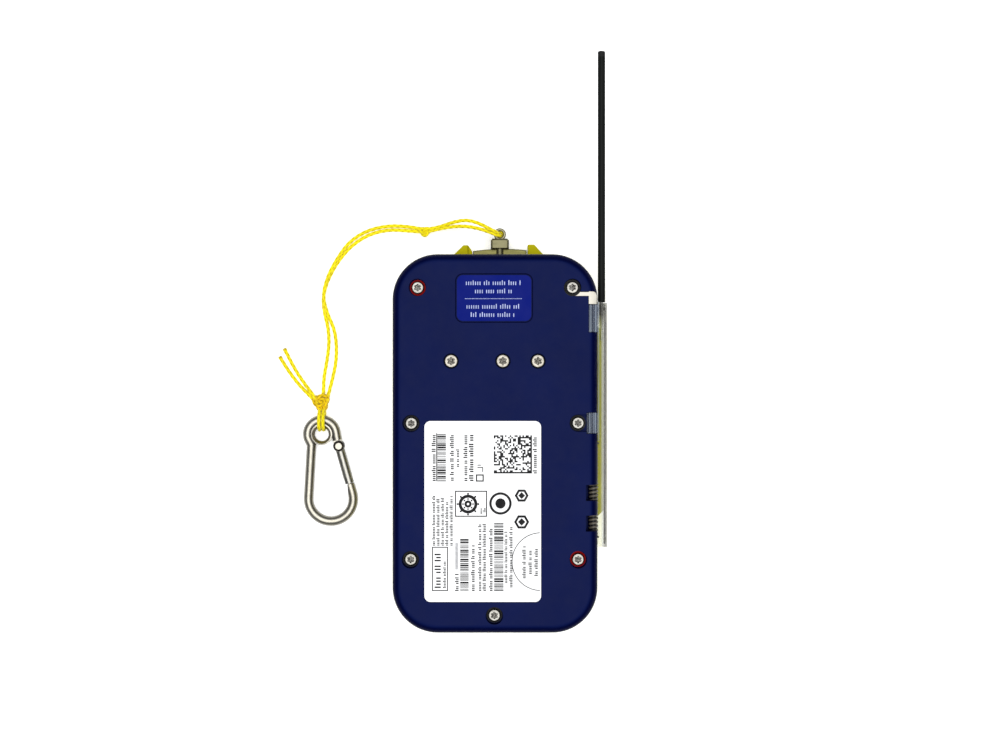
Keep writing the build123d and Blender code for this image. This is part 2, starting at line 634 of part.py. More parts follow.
def carabiner_frame():
    top_right = tangent_point(HINGE, TOP_CENTRE, TOP_R, 1)
    base_right = tangent_point(HINGE, BASE_CENTRE, BASE_R, -1)
    base_left = tangent_point(LEG_TOP, BASE_CENTRE, BASE_R, 1)
    shoulder = radians(198)
    shoulder_at = (TOP_CENTRE[0] + TOP_R * cos(shoulder), TOP_CENTRE[1] + TOP_R * sin(shoulder))
    body = wire_bend(TOP_CENTRE, TOP_R, polar(TOP_CENTRE, top_right), shoulder)
    body += wire_bar(shoulder_at, LEG_TOP)
    body += wire_bar(LEG_TOP, base_left)
    body += Pos(*LEG_TOP, WIRE_R) * Sphere(WIRE_R)
    body += Pos(*shoulder_at, WIRE_R) * Sphere(WIRE_R)
    body += wire_bend(BASE_CENTRE, BASE_R, polar(BASE_CENTRE, base_left),
                      polar(BASE_CENTRE, base_right) + 2 * pi)
    body += wire_bar(base_right, along_gate(NOSE_AT + 0.3))
    body += wire_bar(top_right, along_gate(-2.1))
    body -= nose_cut()
    tongue = wire_bar(along_gate(NOSE_AT + 1.5), along_gate(NOSE_AT - 1.2), r=TONGUE_R)
    tang = wire_bar(along_gate(-2.7), along_gate(1.2), r=1.5)
    thin = block(-70, -40, -30, 10, WIRE_R - 0.55, WIRE_R + 0.55)
    body += (tang & thin) + tongue
    return lean(body - post(*HINGE, -1, 4, PIVOT_R))


def nose_cut():
    """The wedge cut from the nose's inner side, deepest at the gate's end."""
    a, b = along_gate(NOSE_AT + 0.25), along_gate(NOSE_AT + NOSE_LENGTH)
    reach = NOSE_LENGTH - 0.25
    inward = ((b[1] - a[1]) / reach, (a[0] - b[0]) / reach)
    corners = []
    for point, offset in ((a, WIRE_R - NOSE_NECK), (a, WIRE_R + 1), (b, WIRE_R + 1), (b, WIRE_R)):
        corners.append((point[0] + inward[0] * offset, point[1] + inward[1] * offset))
    return prism(corners, -1, 2 * WIRE_R + 1)


def carabiner_eyelet():
    """A grommet: a barrel inside the frame's top, with a flange over and under the wire."""
    low, high = EYELET_Z
    barrel = TOP_R - WIRE_R - 0.1
    edge = 0.28
    half = [(EYELET_R, WIRE_R), (EYELET_R, high - 1.1), (EYELET_FLANGE_R - 0.45, high),
            (EYELET_FLANGE_R, high - 0.08), (EYELET_FLANGE_R, high - edge), (barrel, high - edge)]
    other = [(r, low + high - z) for r, z in reversed(half[1:])]
    profile = make_face(Polyline(*[(r, 0, z) for r, z in half + other], close=True))
    return lean(Pos(*TOP_CENTRE, 0) * revolve(profile, axis=Axis.Z))


def carabiner_gate():
    """The sprung gate: a tube slotted at the hinge for the frame's tang and bored at its
    end for the nose."""
    body = wire_bar(along_gate(-1.2), along_gate(NOSE_AT), r=GATE_R)
    cheek = ring(*HINGE, 0.15, 2 * WIRE_R - 0.15, CHEEK_R, PIVOT_R)
    body = body + cheek - post(*HINGE, -1, 4, PIVOT_R)
    body -= wire_slot(along_gate(-3.5), along_gate(2.6), 1.3)
    body -= wire_slot(along_gate(NOSE_AT - 1.8), along_gate(NOSE_AT + 1), 1.5)
    body -= wire_bar(along_gate(GATE_BORE[0]), along_gate(GATE_BORE[1]), r=GATE_BORE_R)
    return lean(body)


def wire_slot(a, b, height):
    """A flat slot that follows the gate's axis."""
    dx, dy = b[0] - a[0], b[1] - a[1]
    slot = Box(sqrt(dx * dx + dy * dy), 8, height)
    return Pos((a[0] + b[0]) / 2, (a[1] + b[1]) / 2, WIRE_R) * Rot(Z=degrees(atan2(dy, dx))) * slot


def gate_rivet():
    under = 2 * WIRE_R + 0.13
    rivet = post(*HINGE, 0.1, under, 0.58) + post(*HINGE, under, under + 0.3, 1.25)
    return lean(fillet(edges_at(rivet, Axis.Z, under + 0.3), 0.2))


def gate_spring():
    a, b = along_gate(GATE_BORE[0] + 0.4), along_gate(GATE_BORE[1] - 0.4)
    dx, dy = b[0] - a[0], b[1] - a[1]
    path = Helix(SPRING_PITCH, sqrt(dx * dx + dy * dy), SPRING_R,
                 center=(a[0], a[1], WIRE_R), direction=(dx, dy, 0))
    section = Plane(origin=path @ 0, z_dir=path % 0) * Circle(SPRING_WIRE_R)
    return lean(sweep(section, path=path))


# ---- electronics --------------------------------------------------------------------
def board_bracket():
    """The carrier that the three inner screws hold under the cover's roof."""
    body = slab(*BRACKET, 2.5, *BRACKET_Z, y=INNER_SCREWS[0][1])
    for x, y in INNER_SCREWS:
        body += post(x, y, BRACKET_BOSS_Z, BRACKET_Z[1], BRACKET_BOSS_R)
    for x, y in BRACKET_LEGS:
        body += post(x, y, BOARD_Z[1], BRACKET_Z[0] + 0.1, 2.2)
        body -= post(x, y, BOARD_Z[1] - 1, 15, 1.0)
    for x, y in INNER_SCREWS:
        body -= post(x, y, 16, 21, INSERT_R)
    return body


def board_screws():
    pieces = []
    for x, y in BRACKET_LEGS:
        pieces.append(post(x, y, 7.2, BOARD_Z[0], 1.9) + post(x, y, BOARD_Z[0], 14, 0.95))
    return group(pieces)


def main_board():
    board = slab(*BOARD, 1.5, *BOARD_Z, y=BOARD_Y)
    for x, y in BRACKET_LEGS:
        board -= post(x, y, 0, 20, 1.05)
    return board


def gps_antenna():
    patch = block(-9, 9, 26, 44, 4.9, BOARD_Z[0])
    return chamfer(edges_at(patch, Axis.Z, 4.9), 0.6)


def shield_can():
    can = block(-20, -2, 0, 17, BOARD_Z[1], 12.9)
    return fillet(edges_at(can, Axis.Z, 12.9), 0.4)


def radio_module():
    return block(4, 19, 2, 15, BOARD_Z[1], 12.3)


def reed_switch():
    return rod_x(44.6, BOARD_Z[1] + 1.15, -6.5, 7.5, 1.1)


def tact_switches():
    pieces = []
    for x, y, _ in BUTTONS.values():
        pieces.append(block(x - 3, x + 3, y - 3, y + 3, 6.6, BOARD_Z[0]) + post(x, y, 6.0, 6.6, 1.5))
    return group(pieces)


def status_led():
    x, y = LED_AT
    return block(x - 1, x + 1, y - 1, y + 1, 7.5, BOARD_Z[0])


def battery_connector():
    plug = block(-5, 5, -5, -1, BOARD_Z[1], 15.6)
    for x in (-2.0, 1.0):
        plug -= block(x - 0.8, x + 0.8, -6, -4.2, 13.0, 15.2)
    return plug


def battery_cells():
    cells = []
    for x in CELL_X:
        can = rod_y(x, CELL_Z, *CELL_Y, CELL_R)
        can = fillet(can.edges().filter_by(GeomType.CIRCLE), 0.6)
        cells.append(can + rod_y(x, CELL_Z, CELL_Y[1], CELL_Y[1] + 0.8, 2.8))
    return group(cells)


def battery_tray():
    body = block(-20.0, 17.0, -52.3, -13.2, 2.4, 14.0)
    for x in CELL_X:
        body -= rod_y(x, CELL_Z, *TRAY_Y, CELL_R + 0.15)
    body -= block(-13, 10, TRAY_Y[0], TRAY_Y[0] + 1.1, 11.2, 15)
    return body - block(-18.4, 15.4, *TRAY_Y, CELL_Z, 15)


def battery_links():
    """Nickel strips: one joins the cells, and one leaves each cell's other end."""
    return group([block(-12.5, 9.5, -50.0, -49.7, 11.5, 16.0),
                  block(-12.4, -8.0, -15.15, -14.9, 11.5, 16.0),
                  block(5.0, 9.4, -15.15, -14.9, 11.5, 16.0)])


def battery_leads():
    """Two short leads from the cells' strips to the connector on the board."""
    leads = []
    for x, end in ((CELL_X[0], -2.0), (CELL_X[1], 1.0)):
        points = [(x, -14.9, 15.2), (x, -11.5, 15.4), (end, -8.0, 14.9), (end, -4.3, 14.2)]
        path = FilletPolyline(*points, radius=[2.0, 2.0])
        leads.append(sweep(Plane(origin=path @ 0, z_dir=path % 0) * Circle(0.6), path=path))
    return group(leads)


def battery_pad():
    return slab(30, 28, 2, 21.9, 24.5, x=-1.5, y=-32.5)


# ---- buttons ------------------------------------------------------------------------
def button(x, y, r):
    body = post(x, y, BUTTON_FACE_Z, BUTTON_STEP_Z + 0.1, r)
    body = fillet(edges_at(body, Axis.Z, BUTTON_FACE_Z), 0.5)
    body += post(x, y, BUTTON_STEP_Z, BUTTON_STEP_Z + 0.8, r + 1.4)
    return body + post(x, y, BUTTON_STEP_Z + 0.7, 4.9, 2.0)


def button_seal(x, y, r):
    return ring(x, y, WALL, BUTTON_STEP_Z - 0.05, r + 1.6, r + 0.2)


def led_lens():
    x, y = LED_AT
    lens = post(x, y, 0.2, WALL, LED_HOLE_R - 0.02) + post(x, y, WALL, 3.0, 2.4)
    return fillet(edges_at(lens, Axis.Z, 0.2), 0.3)


NODES = {
    "back_cover": back_cover,
    "front_shell": front_shell,
    "case_gasket": gasket_ring,
    "case_screws": case_screws,
    "case_washers_black": lambda: group([case_washers(BLACK_WASHERS), retainer_washer()]),
    "case_washers_red": lambda: case_washers(RED_WASHERS),
    "case_inserts": lambda: inserts(CASE_SCREWS, 6.0, 11.0),
    "inner_screws": inner_screws,
    "inner_screw_seals": inner_screw_seals,
    "inner_inserts": lambda: inserts(INNER_SCREWS, BRACKET_BOSS_Z, BRACKET_Z[1] - 0.1),
    "seal_label": lambda: label(SEAL_LABEL, SEAL_LABEL_AT, SEAL_LABEL_Z),
    "rating_label": lambda: label(RATING_LABEL, RATING_LABEL_AT, RATING_LABEL_Z),
    "front_label": lambda: label(FRONT_LABEL, FRONT_LABEL_AT, FRONT_LABEL_Z),
    "vacuum_port_plug": vacuum_port_plug,
    "guard_retainer": guard_retainer,
    "antenna_guard": antenna_guard,
    "antenna_whip": antenna_whip,
    "antenna_tip": antenna_tip,
    "antenna_foot": antenna_foot,
    "loading_coil": loading_coil,
    "coil_former": coil_former,
    "release_bow": release_bow,
    "eye_collar": eye_collar,
    "lanyard_eye": lanyard_eye,
    "release_shaft": release_shaft,
    "release_magnet": release_magnet,
    "pin_seal": pin_seal,
    "lanyard_strand_a": lambda: cord("strand a", STRAND_A),
    "lanyard_strand_b": lambda: cord("strand b", STRAND_B),
    "eyelet_loop": eyelet_loop,
    "eye_knot": eye_knot,
    "knot_mid": knot_mid,
    "knot_end": knot_end,
    "carabiner_frame": carabiner_frame,
    "carabiner_eyelet": carabiner_eyelet,
    "carabiner_gate": carabiner_gate,
    "gate_rivet": gate_rivet,
    "gate_spring": gate_spring,
    "board_bracket": board_bracket,
    "board_screws": board_screws,
    "main_board": main_board,
    "gps_antenna": gps_antenna,
    "shield_can": shield_can,
    "radio_module": radio_module,
    "reed_switch": reed_switch,
    "tact_switches": tact_switches,
    "status_led": status_led,
    "battery_connector": battery_connector,
    "battery_cells": battery_cells,
    "battery_tray": battery_tray,
    "battery_links": battery_links,
    "battery_leads": battery_leads,
    "battery_pad": battery_pad,
    "activate_button": lambda: button(*BUTTONS["activate"]),
    "activate_seal": lambda: button_seal(*BUTTONS["activate"]),
    "test_button": lambda: button(*BUTTONS["test"]),
    "test_seal": lambda: button_seal(*BUTTONS["test"]),
    "led_lens": led_lens,
}

for node, make in NODES.items():
    export_step(make(), f"parts/{node}.step")

hinge = lean(Pos(*HINGE, WIRE_R) * Sphere(0.1)).center()
print(f"gate hinge at {hinge.X:.3f} {hinge.Y:.3f} {hinge.Z:.3f}, leaning {TILT:.3f} degrees")
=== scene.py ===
"""Looks for the emergency position beacon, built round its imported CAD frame.

The frame is the CAD's: z = 0 is the plane the beacon lies on, +Z is the side of the blue back
cover, +Y runs along the antenna and +X is the antenna's side. The scene is in metres. The
beacon's places and sizes are typed in millimetres, and the factor MM turns them into metres.
"""

import json
import math
import random

import bpy
import numpy as np
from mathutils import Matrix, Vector


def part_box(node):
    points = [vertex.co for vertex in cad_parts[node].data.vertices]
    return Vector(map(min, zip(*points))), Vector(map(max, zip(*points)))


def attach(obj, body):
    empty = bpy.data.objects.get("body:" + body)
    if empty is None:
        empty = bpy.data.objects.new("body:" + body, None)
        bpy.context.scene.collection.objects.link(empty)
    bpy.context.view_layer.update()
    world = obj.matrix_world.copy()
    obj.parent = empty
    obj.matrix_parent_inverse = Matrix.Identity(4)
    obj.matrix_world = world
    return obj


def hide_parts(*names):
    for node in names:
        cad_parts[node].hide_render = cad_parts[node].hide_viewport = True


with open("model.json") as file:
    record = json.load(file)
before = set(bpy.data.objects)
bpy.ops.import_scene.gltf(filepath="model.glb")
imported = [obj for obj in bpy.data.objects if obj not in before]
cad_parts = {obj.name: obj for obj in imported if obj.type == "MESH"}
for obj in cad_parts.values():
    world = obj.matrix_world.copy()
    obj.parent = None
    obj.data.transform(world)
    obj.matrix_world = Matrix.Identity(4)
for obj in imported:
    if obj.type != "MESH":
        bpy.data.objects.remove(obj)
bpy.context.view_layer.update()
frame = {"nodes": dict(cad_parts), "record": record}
MM = 0.001


# ---- small helpers ------------------------------------------------------------------
def new_object(name, data):
    made = bpy.data.objects.new(name, data)
    bpy.context.scene.collection.objects.link(made)
    return made


def new_mesh(name, verts, faces, smooth=True):
    mesh = bpy.data.meshes.new(name)
    mesh.from_pydata([tuple(v) for v in verts], [], faces)
    mesh.update()
    mesh.polygons.foreach_set("use_smooth", [smooth] * len(mesh.polygons))
    return mesh


def new_piece(name, mesh, material):
    piece = new_object(name, mesh)
    piece.data.materials.append(material)
    return piece


def join(parts, name):
    """One piece made of several; each keeps its own closed skin."""
    if len(parts) > 1:
        with bpy.context.temp_override(active_object=parts[0], object=parts[0],
                                       selected_objects=parts, selected_editable_objects=parts):
            bpy.ops.object.join()
    parts[0].name = name
    return parts[0]


# ---- materials ----------------------------------------------------------------------
def shade(colour, factor):
    return tuple(c * factor for c in colour)


class Nodes:
    """Short calls for the nodes of one material. A noise's scale is about the number of its
    features in a metre, so 60 makes clouds of 17 mm and 5200 a grain of 0.2 mm."""

    def __init__(self, name):
        self.material = bpy.data.materials.new(name)
        self.material.use_nodes = True
        self.tree = self.material.node_tree
        self.shader = self.tree.nodes["Principled BSDF"]
        spots = self.add("ShaderNodeTexCoord")
        self.place = spots.outputs["Object"]
        self.facing = spots.outputs["Normal"]

    def add(self, kind, **values):
        node = self.tree.nodes.new(kind)
        for key, value in values.items():
            setattr(node, key, value)
        return node

    def wire(self, source, target):
        self.tree.links.new(source, target)

    def stretched(self, x, y, z):
        """The place in space, scaled along each axis."""
        node = self.add("ShaderNodeMapping")
        node.inputs["Scale"].default_value = (x, y, z)
        self.wire(self.place, node.inputs["Vector"])
        return node.outputs["Vector"]

    def part_of(self, vector, letter):
        node = self.add("ShaderNodeSeparateXYZ")
        self.wire(vector, node.inputs["Vector"])
        return node.outputs[letter]

    def greater(self, first, second):
        node = self.add("ShaderNodeMath", operation="MAXIMUM")
        self.wire(first, node.inputs[0])
        self.wire(second, node.inputs[1])
        return node.outputs["Value"]

    def noise(self, scale, detail=4.0, rough=0.55, where=None):
        node = self.add("ShaderNodeTexNoise")
        node.inputs["Scale"].default_value = scale
        node.inputs["Detail"].default_value = detail
        node.inputs["Roughness"].default_value = rough
        self.wire(where or self.place, node.inputs["Vector"])
        return node.outputs["Fac"]

    def lines(self, along, detail, rough):
        """Noise drawn out into lines: along holds its scale on each axis."""
        return self.noise(1.0, detail, rough, where=self.stretched(*along))

    def cell_edges(self, scale):
        """The distance to the nearest edge in a pattern of cells."""
        node = self.add("ShaderNodeTexVoronoi", feature="DISTANCE_TO_EDGE")
        node.inputs["Scale"].default_value = scale
        self.wire(self.place, node.inputs["Vector"])
        return node.outputs["Distance"]

    def span(self, source, low=0, high=1, start=0.3, end=0.7):
        """Maps source's values from start to end onto low to high. The usual start and end
        take in nearly all of a noise."""
        node = self.add("ShaderNodeMapRange")
        for key, value in (("From Min", start), ("From Max", end), ("To Min", low), ("To Max", high)):
            node.inputs[key].default_value = value
        self.wire(source, node.inputs["Value"])
        return node.outputs["Result"]

    def past(self, source, low, high):
        """0 up to low millimetres and 1 from high on."""
        return self.span(source, 0, 1, low * MM, high * MM)

    def short_of(self, source, low, high):
        """1 up to low millimetres and 0 from high on."""
        return self.span(source, 1, 0, low * MM, high * MM)

    def away_from(self, x, y, low, high):
        """0 within low millimetres of an upright axis and 1 beyond high."""
        flat = self.add("ShaderNodeVectorMath", operation="MULTIPLY")
        self.wire(self.place, flat.inputs[0])
        flat.inputs[1].default_value = (1, 1, 0)
        gap = self.add("ShaderNodeVectorMath", operation="DISTANCE")
        self.wire(flat.outputs["Vector"], gap.inputs[0])
        gap.inputs[1].default_value = (x * MM, y * MM, 0)
        return self.past(gap.outputs["Value"], low, high)

    def blend(self, factor, first, second):
        """First where factor is 0 and second where it is 1; each is a colour or a socket."""
        node = self.add("ShaderNodeMix", data_type="RGBA")
        self.wire(factor, node.inputs["Factor"])
        for socket, value in (("A", first), ("B", second)):
            target = [s for s in node.inputs if s.name == socket and s.type == "RGBA"][0]
            if isinstance(value, tuple):
                target.default_value = (*value, 1.0)
            else:
                self.wire(value, target)
        return [s for s in node.outputs if s.type == "RGBA"][0]

    def mottled(self, pattern, colour, dark, light):
        """The colour times dark to light, by a pattern."""
        return self.blend(self.span(pattern), shade(colour, dark), shade(colour, light))

    def bump(self, height, depth):
        """A rough surface; depth is in millimetres."""
        node = self.add("ShaderNodeBump")
        node.inputs["Strength"].default_value = 1.0
        node.inputs["Distance"].default_value = depth * MM
        self.wire(height, node.inputs["Height"])
        return node.outputs["Normal"]

    def set(self, **values):
        """Sets or wires the shader's sockets and gives back the material."""
        for key, value in values.items():
            socket = self.shader.inputs[key.replace("_", " ")]
            if hasattr(value, "node"):
                self.wire(value, socket)
            else:
                socket.default_value = (*value, 1.0) if isinstance(value, tuple) else value
        return self.material


def moulded(name, colour, rough=(0.38, 0.5), grain=0.012, tint=0.08, shine=0.2, **extra):
    """Moulded plastic: fine spark-eroded grain, faint clouds of colour and gloss."""
    n = Nodes(name)
    clouds, gloss, skin = n.noise(60, 3), n.noise(240, 4), n.noise(5200, 2)
    return n.set(Base_Color=n.mottled(clouds, colour, 1 - tint, 1 + tint),
                 Roughness=n.span(gloss, *rough), Normal=n.bump(skin, grain),
                 Specular_IOR_Level=shine, **extra)


# painted shade: the cover's rounded edges are coloured darker than its flat
FLAT_FROM = (0.90, 0.99)     # the upward part of the normal where the cover turns from edge to flat


def cover_plastic(name, flat, edge):
    """Moulded plastic with painted shade: deeper in colour where the surface turns away from the
    flat.
    """
    n = Nodes(name)
    upward = n.span(n.part_of(n.facing, "Z"), 0, 1, *FLAT_FROM)
    clouds, gloss, skin = n.noise(60, 3), n.noise(240, 4), n.noise(5200, 2)
    return n.set(Base_Color=n.blend(upward, edge, n.mottled(clouds, flat, 0.93, 1.07)),
                 Roughness=n.span(gloss, 0.36, 0.46), Normal=n.bump(skin, 0.010),
                 Specular_IOR_Level=0.03)


RETAINER_SCREW = (25.6, 51.6)
RETAINER_EYE_R = (2.85, 2.95)
# painted shadow on the retainer's eye round its screw
EYE_PAINTED_SHADOW = (0.006, 0.006, 0.007)


def retainer_coat(name, colour):
    """Cream coating; round the screw the eye is black, a painted shadow of the recess it lies in."""
    n = Nodes(name)
    clouds, gloss, skin = n.noise(120, 3), n.noise(400, 4), n.noise(4000, 2)
    outside = n.away_from(*RETAINER_SCREW, *RETAINER_EYE_R)
    return n.set(Base_Color=n.blend(outside, EYE_PAINTED_SHADOW, n.mottled(clouds, colour, 0.95, 1.03)),
                 Roughness=n.span(gloss, 0.34, 0.5), Normal=n.bump(skin, 0.008),
                 Specular_IOR_Level=0.12)


GATE_PIVOT = (-54.05, -1.8)
PIVOT_RING_R = (1.85, 2.0)
# painted shade round the gate's rivet
PIVOT_PAINTED_SHADE = (0.008, 0.007, 0.006)


def gate_metal(name, colour):
    """Drawn tube with lines along it, and a ring of painted shade round the rivet."""
    n = Nodes(name)
    drawn = n.lines((3400, 260, 3400), 5, 0.7)
    outside = n.away_from(*GATE_PIVOT, *PIVOT_RING_R)
    return n.set(Base_Color=n.blend(outside, PIVOT_PAINTED_SHADE, n.mottled(drawn, colour, 0.6, 1.15)),
                 Metallic=1.0, Roughness=n.span(drawn, 0.3, 0.44), Normal=n.bump(drawn, 0.006))


# painted shade in the screws' driver recesses and on the flanks of their heads
SCREW_PAINTED_SHADE = (0.006, 0.005, 0.004)
SHADE_FADE = 0.04             # half the height over which the painted shade ends
CASE_HEAD_SHADE_LINE = 26.0        # painted shade lies below this height on the sunk case screws
INNER_HEAD_SHADE_LINE = 26.8       # and below this one on the three inner screws
SHANK_TOP = (20, 21)         # lower down, the screws are inside the case and have no painted shade


def screw_head(name, colour, shade_line, rough):
    """Steel screw with painted shade: the driver's recess and the head's flanks are painted dark."""
    n = Nodes(name)
    height = n.part_of(n.place, "Z")
    unshaded = n.greater(n.past(height, shade_line - SHADE_FADE, shade_line + SHADE_FADE),
                      n.short_of(height, *SHANK_TOP))
    specks, wear, gloss, skin = n.noise(2600, 3, 0.7), n.noise(700), n.noise(1800), n.noise(3000, 3)
    shaded = n.blend(n.span(specks, 0, 1, 0.42, 0.62), SCREW_PAINTED_SHADE, shade(colour, 0.5))
    return n.set(Base_Color=n.blend(unshaded, shaded, n.mottled(wear, colour, 0.75, 1.1)),
                 Metallic=1.0, Roughness=n.span(gloss, *rough), Normal=n.bump(skin, 0.012))


def steel(name, colour, rough, drawn_along_x=False):
    """Metal with a fine grain, or with lines drawn along X."""
    n = Nodes(name)
    grain = n.lines((200 if drawn_along_x else 4000, 4000, 4000), 5, 0.7)
    return n.set(Base_Color=n.mottled(n.noise(350), colour, 0.86, 1.06), Metallic=1.0,
                 Roughness=n.span(grain, *rough), Normal=n.bump(grain, 0.003))


def rubber(name, colour, rough=(0.55, 0.75)):
    """Matt rubber, a little uneven in colour."""
    n = Nodes(name)
    clouds, gloss, skin = n.noise(300), n.noise(900), n.noise(4200, 3)
    return n.set(Base_Color=n.mottled(clouds, colour, 0.8, 1.25), Roughness=n.span(gloss, *rough),
                 Normal=n.bump(skin, 0.01), Specular_IOR_Level=0.15)


def printed_film(name, colour, shine=0.08):
    """Label film: even colour, faint orange peel, a few dull patches."""
    n = Nodes(name)
    clouds, gloss, skin = n.noise(90), n.noise(160, 3), n.noise(1500, 2)
    return n.set(Base_Color=n.mottled(clouds, colour, 0.97, 1), Roughness=n.span(gloss, 0.42, 0.6),
                 Normal=n.bump(skin, 0.004), Specular_IOR_Level=shine)


def ink(name, colour, shine=0.1):
    """Printing ink, uneven in density."""
    n = Nodes(name)
    density, gloss = n.noise(900, 5, 0.7), n.noise(400)
    return n.set(Base_Color=n.mottled(density, colour, 0.7, 1.3), Roughness=n.span(gloss, 0.4, 0.6),
                 Specular_IOR_Level=shine)


def braided(name, colour, dark):
    """Cord yarn: painted shade in the grooves between the yarns, and a fibrous sheen. The groove
    attribute comes from braid()."""
    n = Nodes(name)
    groove = n.add("ShaderNodeAttribute", attribute_name="groove").outputs["Fac"]
    patches, fibres = n.noise(260, 3), n.noise(3800, 4, 0.7)
    yarn = n.mottled(patches, colour, 0.80, 1)
    # painted shade: the yarn darkens towards the dark colour in the grooves
    return n.set(Base_Color=n.blend(n.span(groove, 0, 1, 0.12, 0.62), yarn, dark),
                 Roughness=n.span(fibres, 0.5, 0.72), Normal=n.bump(fibres, 0.03),
                 Sheen_Weight=0.25, Sheen_Roughness=0.4, Specular_IOR_Level=0.15)


# Where the clear guard's painted refractions and reflections change. Going outwards along X:
# the tabs end, then the pale strip and the outer side of the tube start. Going up along Y: the
# tube's top end starts.
GUARD_TABS_END = (34.3, 34.6)
GUARD_PALE = (35.7, 35.9)
GUARD_OUTER = (36.4, 36.6)
GUARD_HEAD = (36, 43)
GUARD_ALPHA_DENSE = (0.09, 0.42)     # alpha outside and inside the tabs, outer side and top end
GUARD_ALPHA_PALE = (0.09, 0.22)      # alpha outside and inside the pale strip


def clear_plastic(name):
    """Clear moulding with flow lines along its length. Its colours are painted refraction and
    reflection: beside the housing a painted image of the yellow shell, then a pale strip of
    painted highlight; the tabs carry greyer painted streaks, bluish like the cover under them;
    the outer side of the tube and its top end are greyer, a dark painted reflection."""
    n = Nodes(name)
    flow = n.lines((1500, 14, 1500), 3, 0.6)
    flow_mask = n.span(flow)
    across = n.part_of(n.place, "X")
    tab = n.short_of(across, *GUARD_TABS_END)
    pale = n.past(across, *GUARD_PALE)
    outer = n.past(across, *GUARD_OUTER)
    head = n.past(n.part_of(n.place, "Y"), *GUARD_HEAD)
    # painted refraction: the yellow rail seen through the tube's wall
    painted_rail_image = n.blend(flow_mask, (0.68, 0.71, 0.16), (0.92, 0.95, 0.36))
    # painted highlight: the pale strip along the tube
    painted_pale_highlight = n.blend(flow_mask, (0.50, 0.52, 0.47), (0.85, 0.87, 0.80))
    # painted dark reflection on the tube's outer side and top end
    shell = n.blend(n.span(flow, 0, 1, 0.38, 0.64), (0.006, 0.006, 0.005), (0.15, 0.15, 0.13))
    # painted highlight streaks on the tabs, bluish like the cover under them
    tabs = n.blend(n.span(flow, 0, 1, 0.44, 0.62), (0.012, 0.02, 0.04), (0.34, 0.40, 0.48))
    wall = n.blend(pale, painted_rail_image, painted_pale_highlight)
    tube = n.blend(n.greater(outer, head), wall, shell)
    dense = n.greater(n.greater(outer, tab), head)
    alpha = n.greater(n.span(dense, *GUARD_ALPHA_DENSE, 0, 1), n.span(pale, *GUARD_ALPHA_PALE, 0, 1))
    return n.set(Base_Color=n.blend(tab, tube, tabs), Alpha=alpha, Normal=n.bump(flow, 0.008),
                 Roughness=n.span(flow, 0.08, 0.2), Specular_IOR_Level=0.10)


def whip_sleeve(name):
    """Black sleeve on the whip, with drawn lines along it."""
    n = Nodes(name)
    drawn = n.lines((2600, 90, 2600), 4, 0.6)
    return n.set(Base_Color=n.blend(n.span(drawn), (0.003, 0.004, 0.004), (0.009, 0.010, 0.009)),
                 Roughness=n.span(drawn, 0.36, 0.55), Normal=n.bump(drawn, 0.012),
                 Specular_IOR_Level=0.05)


def board_mask(name):
    """Solder mask over copper: tracks show as a slightly lighter pattern."""
    n = Nodes(name)
    tracks = n.cell_edges(420)
    return n.set(Base_Color=n.blend(n.span(tracks, 0, 1, 0.0, 0.12), (0.05, 0.30, 0.12),
                                    (0.015, 0.13, 0.05)),
                 Roughness=n.span(n.noise(500), 0.25, 0.4), Normal=n.bump(tracks, 0.01))
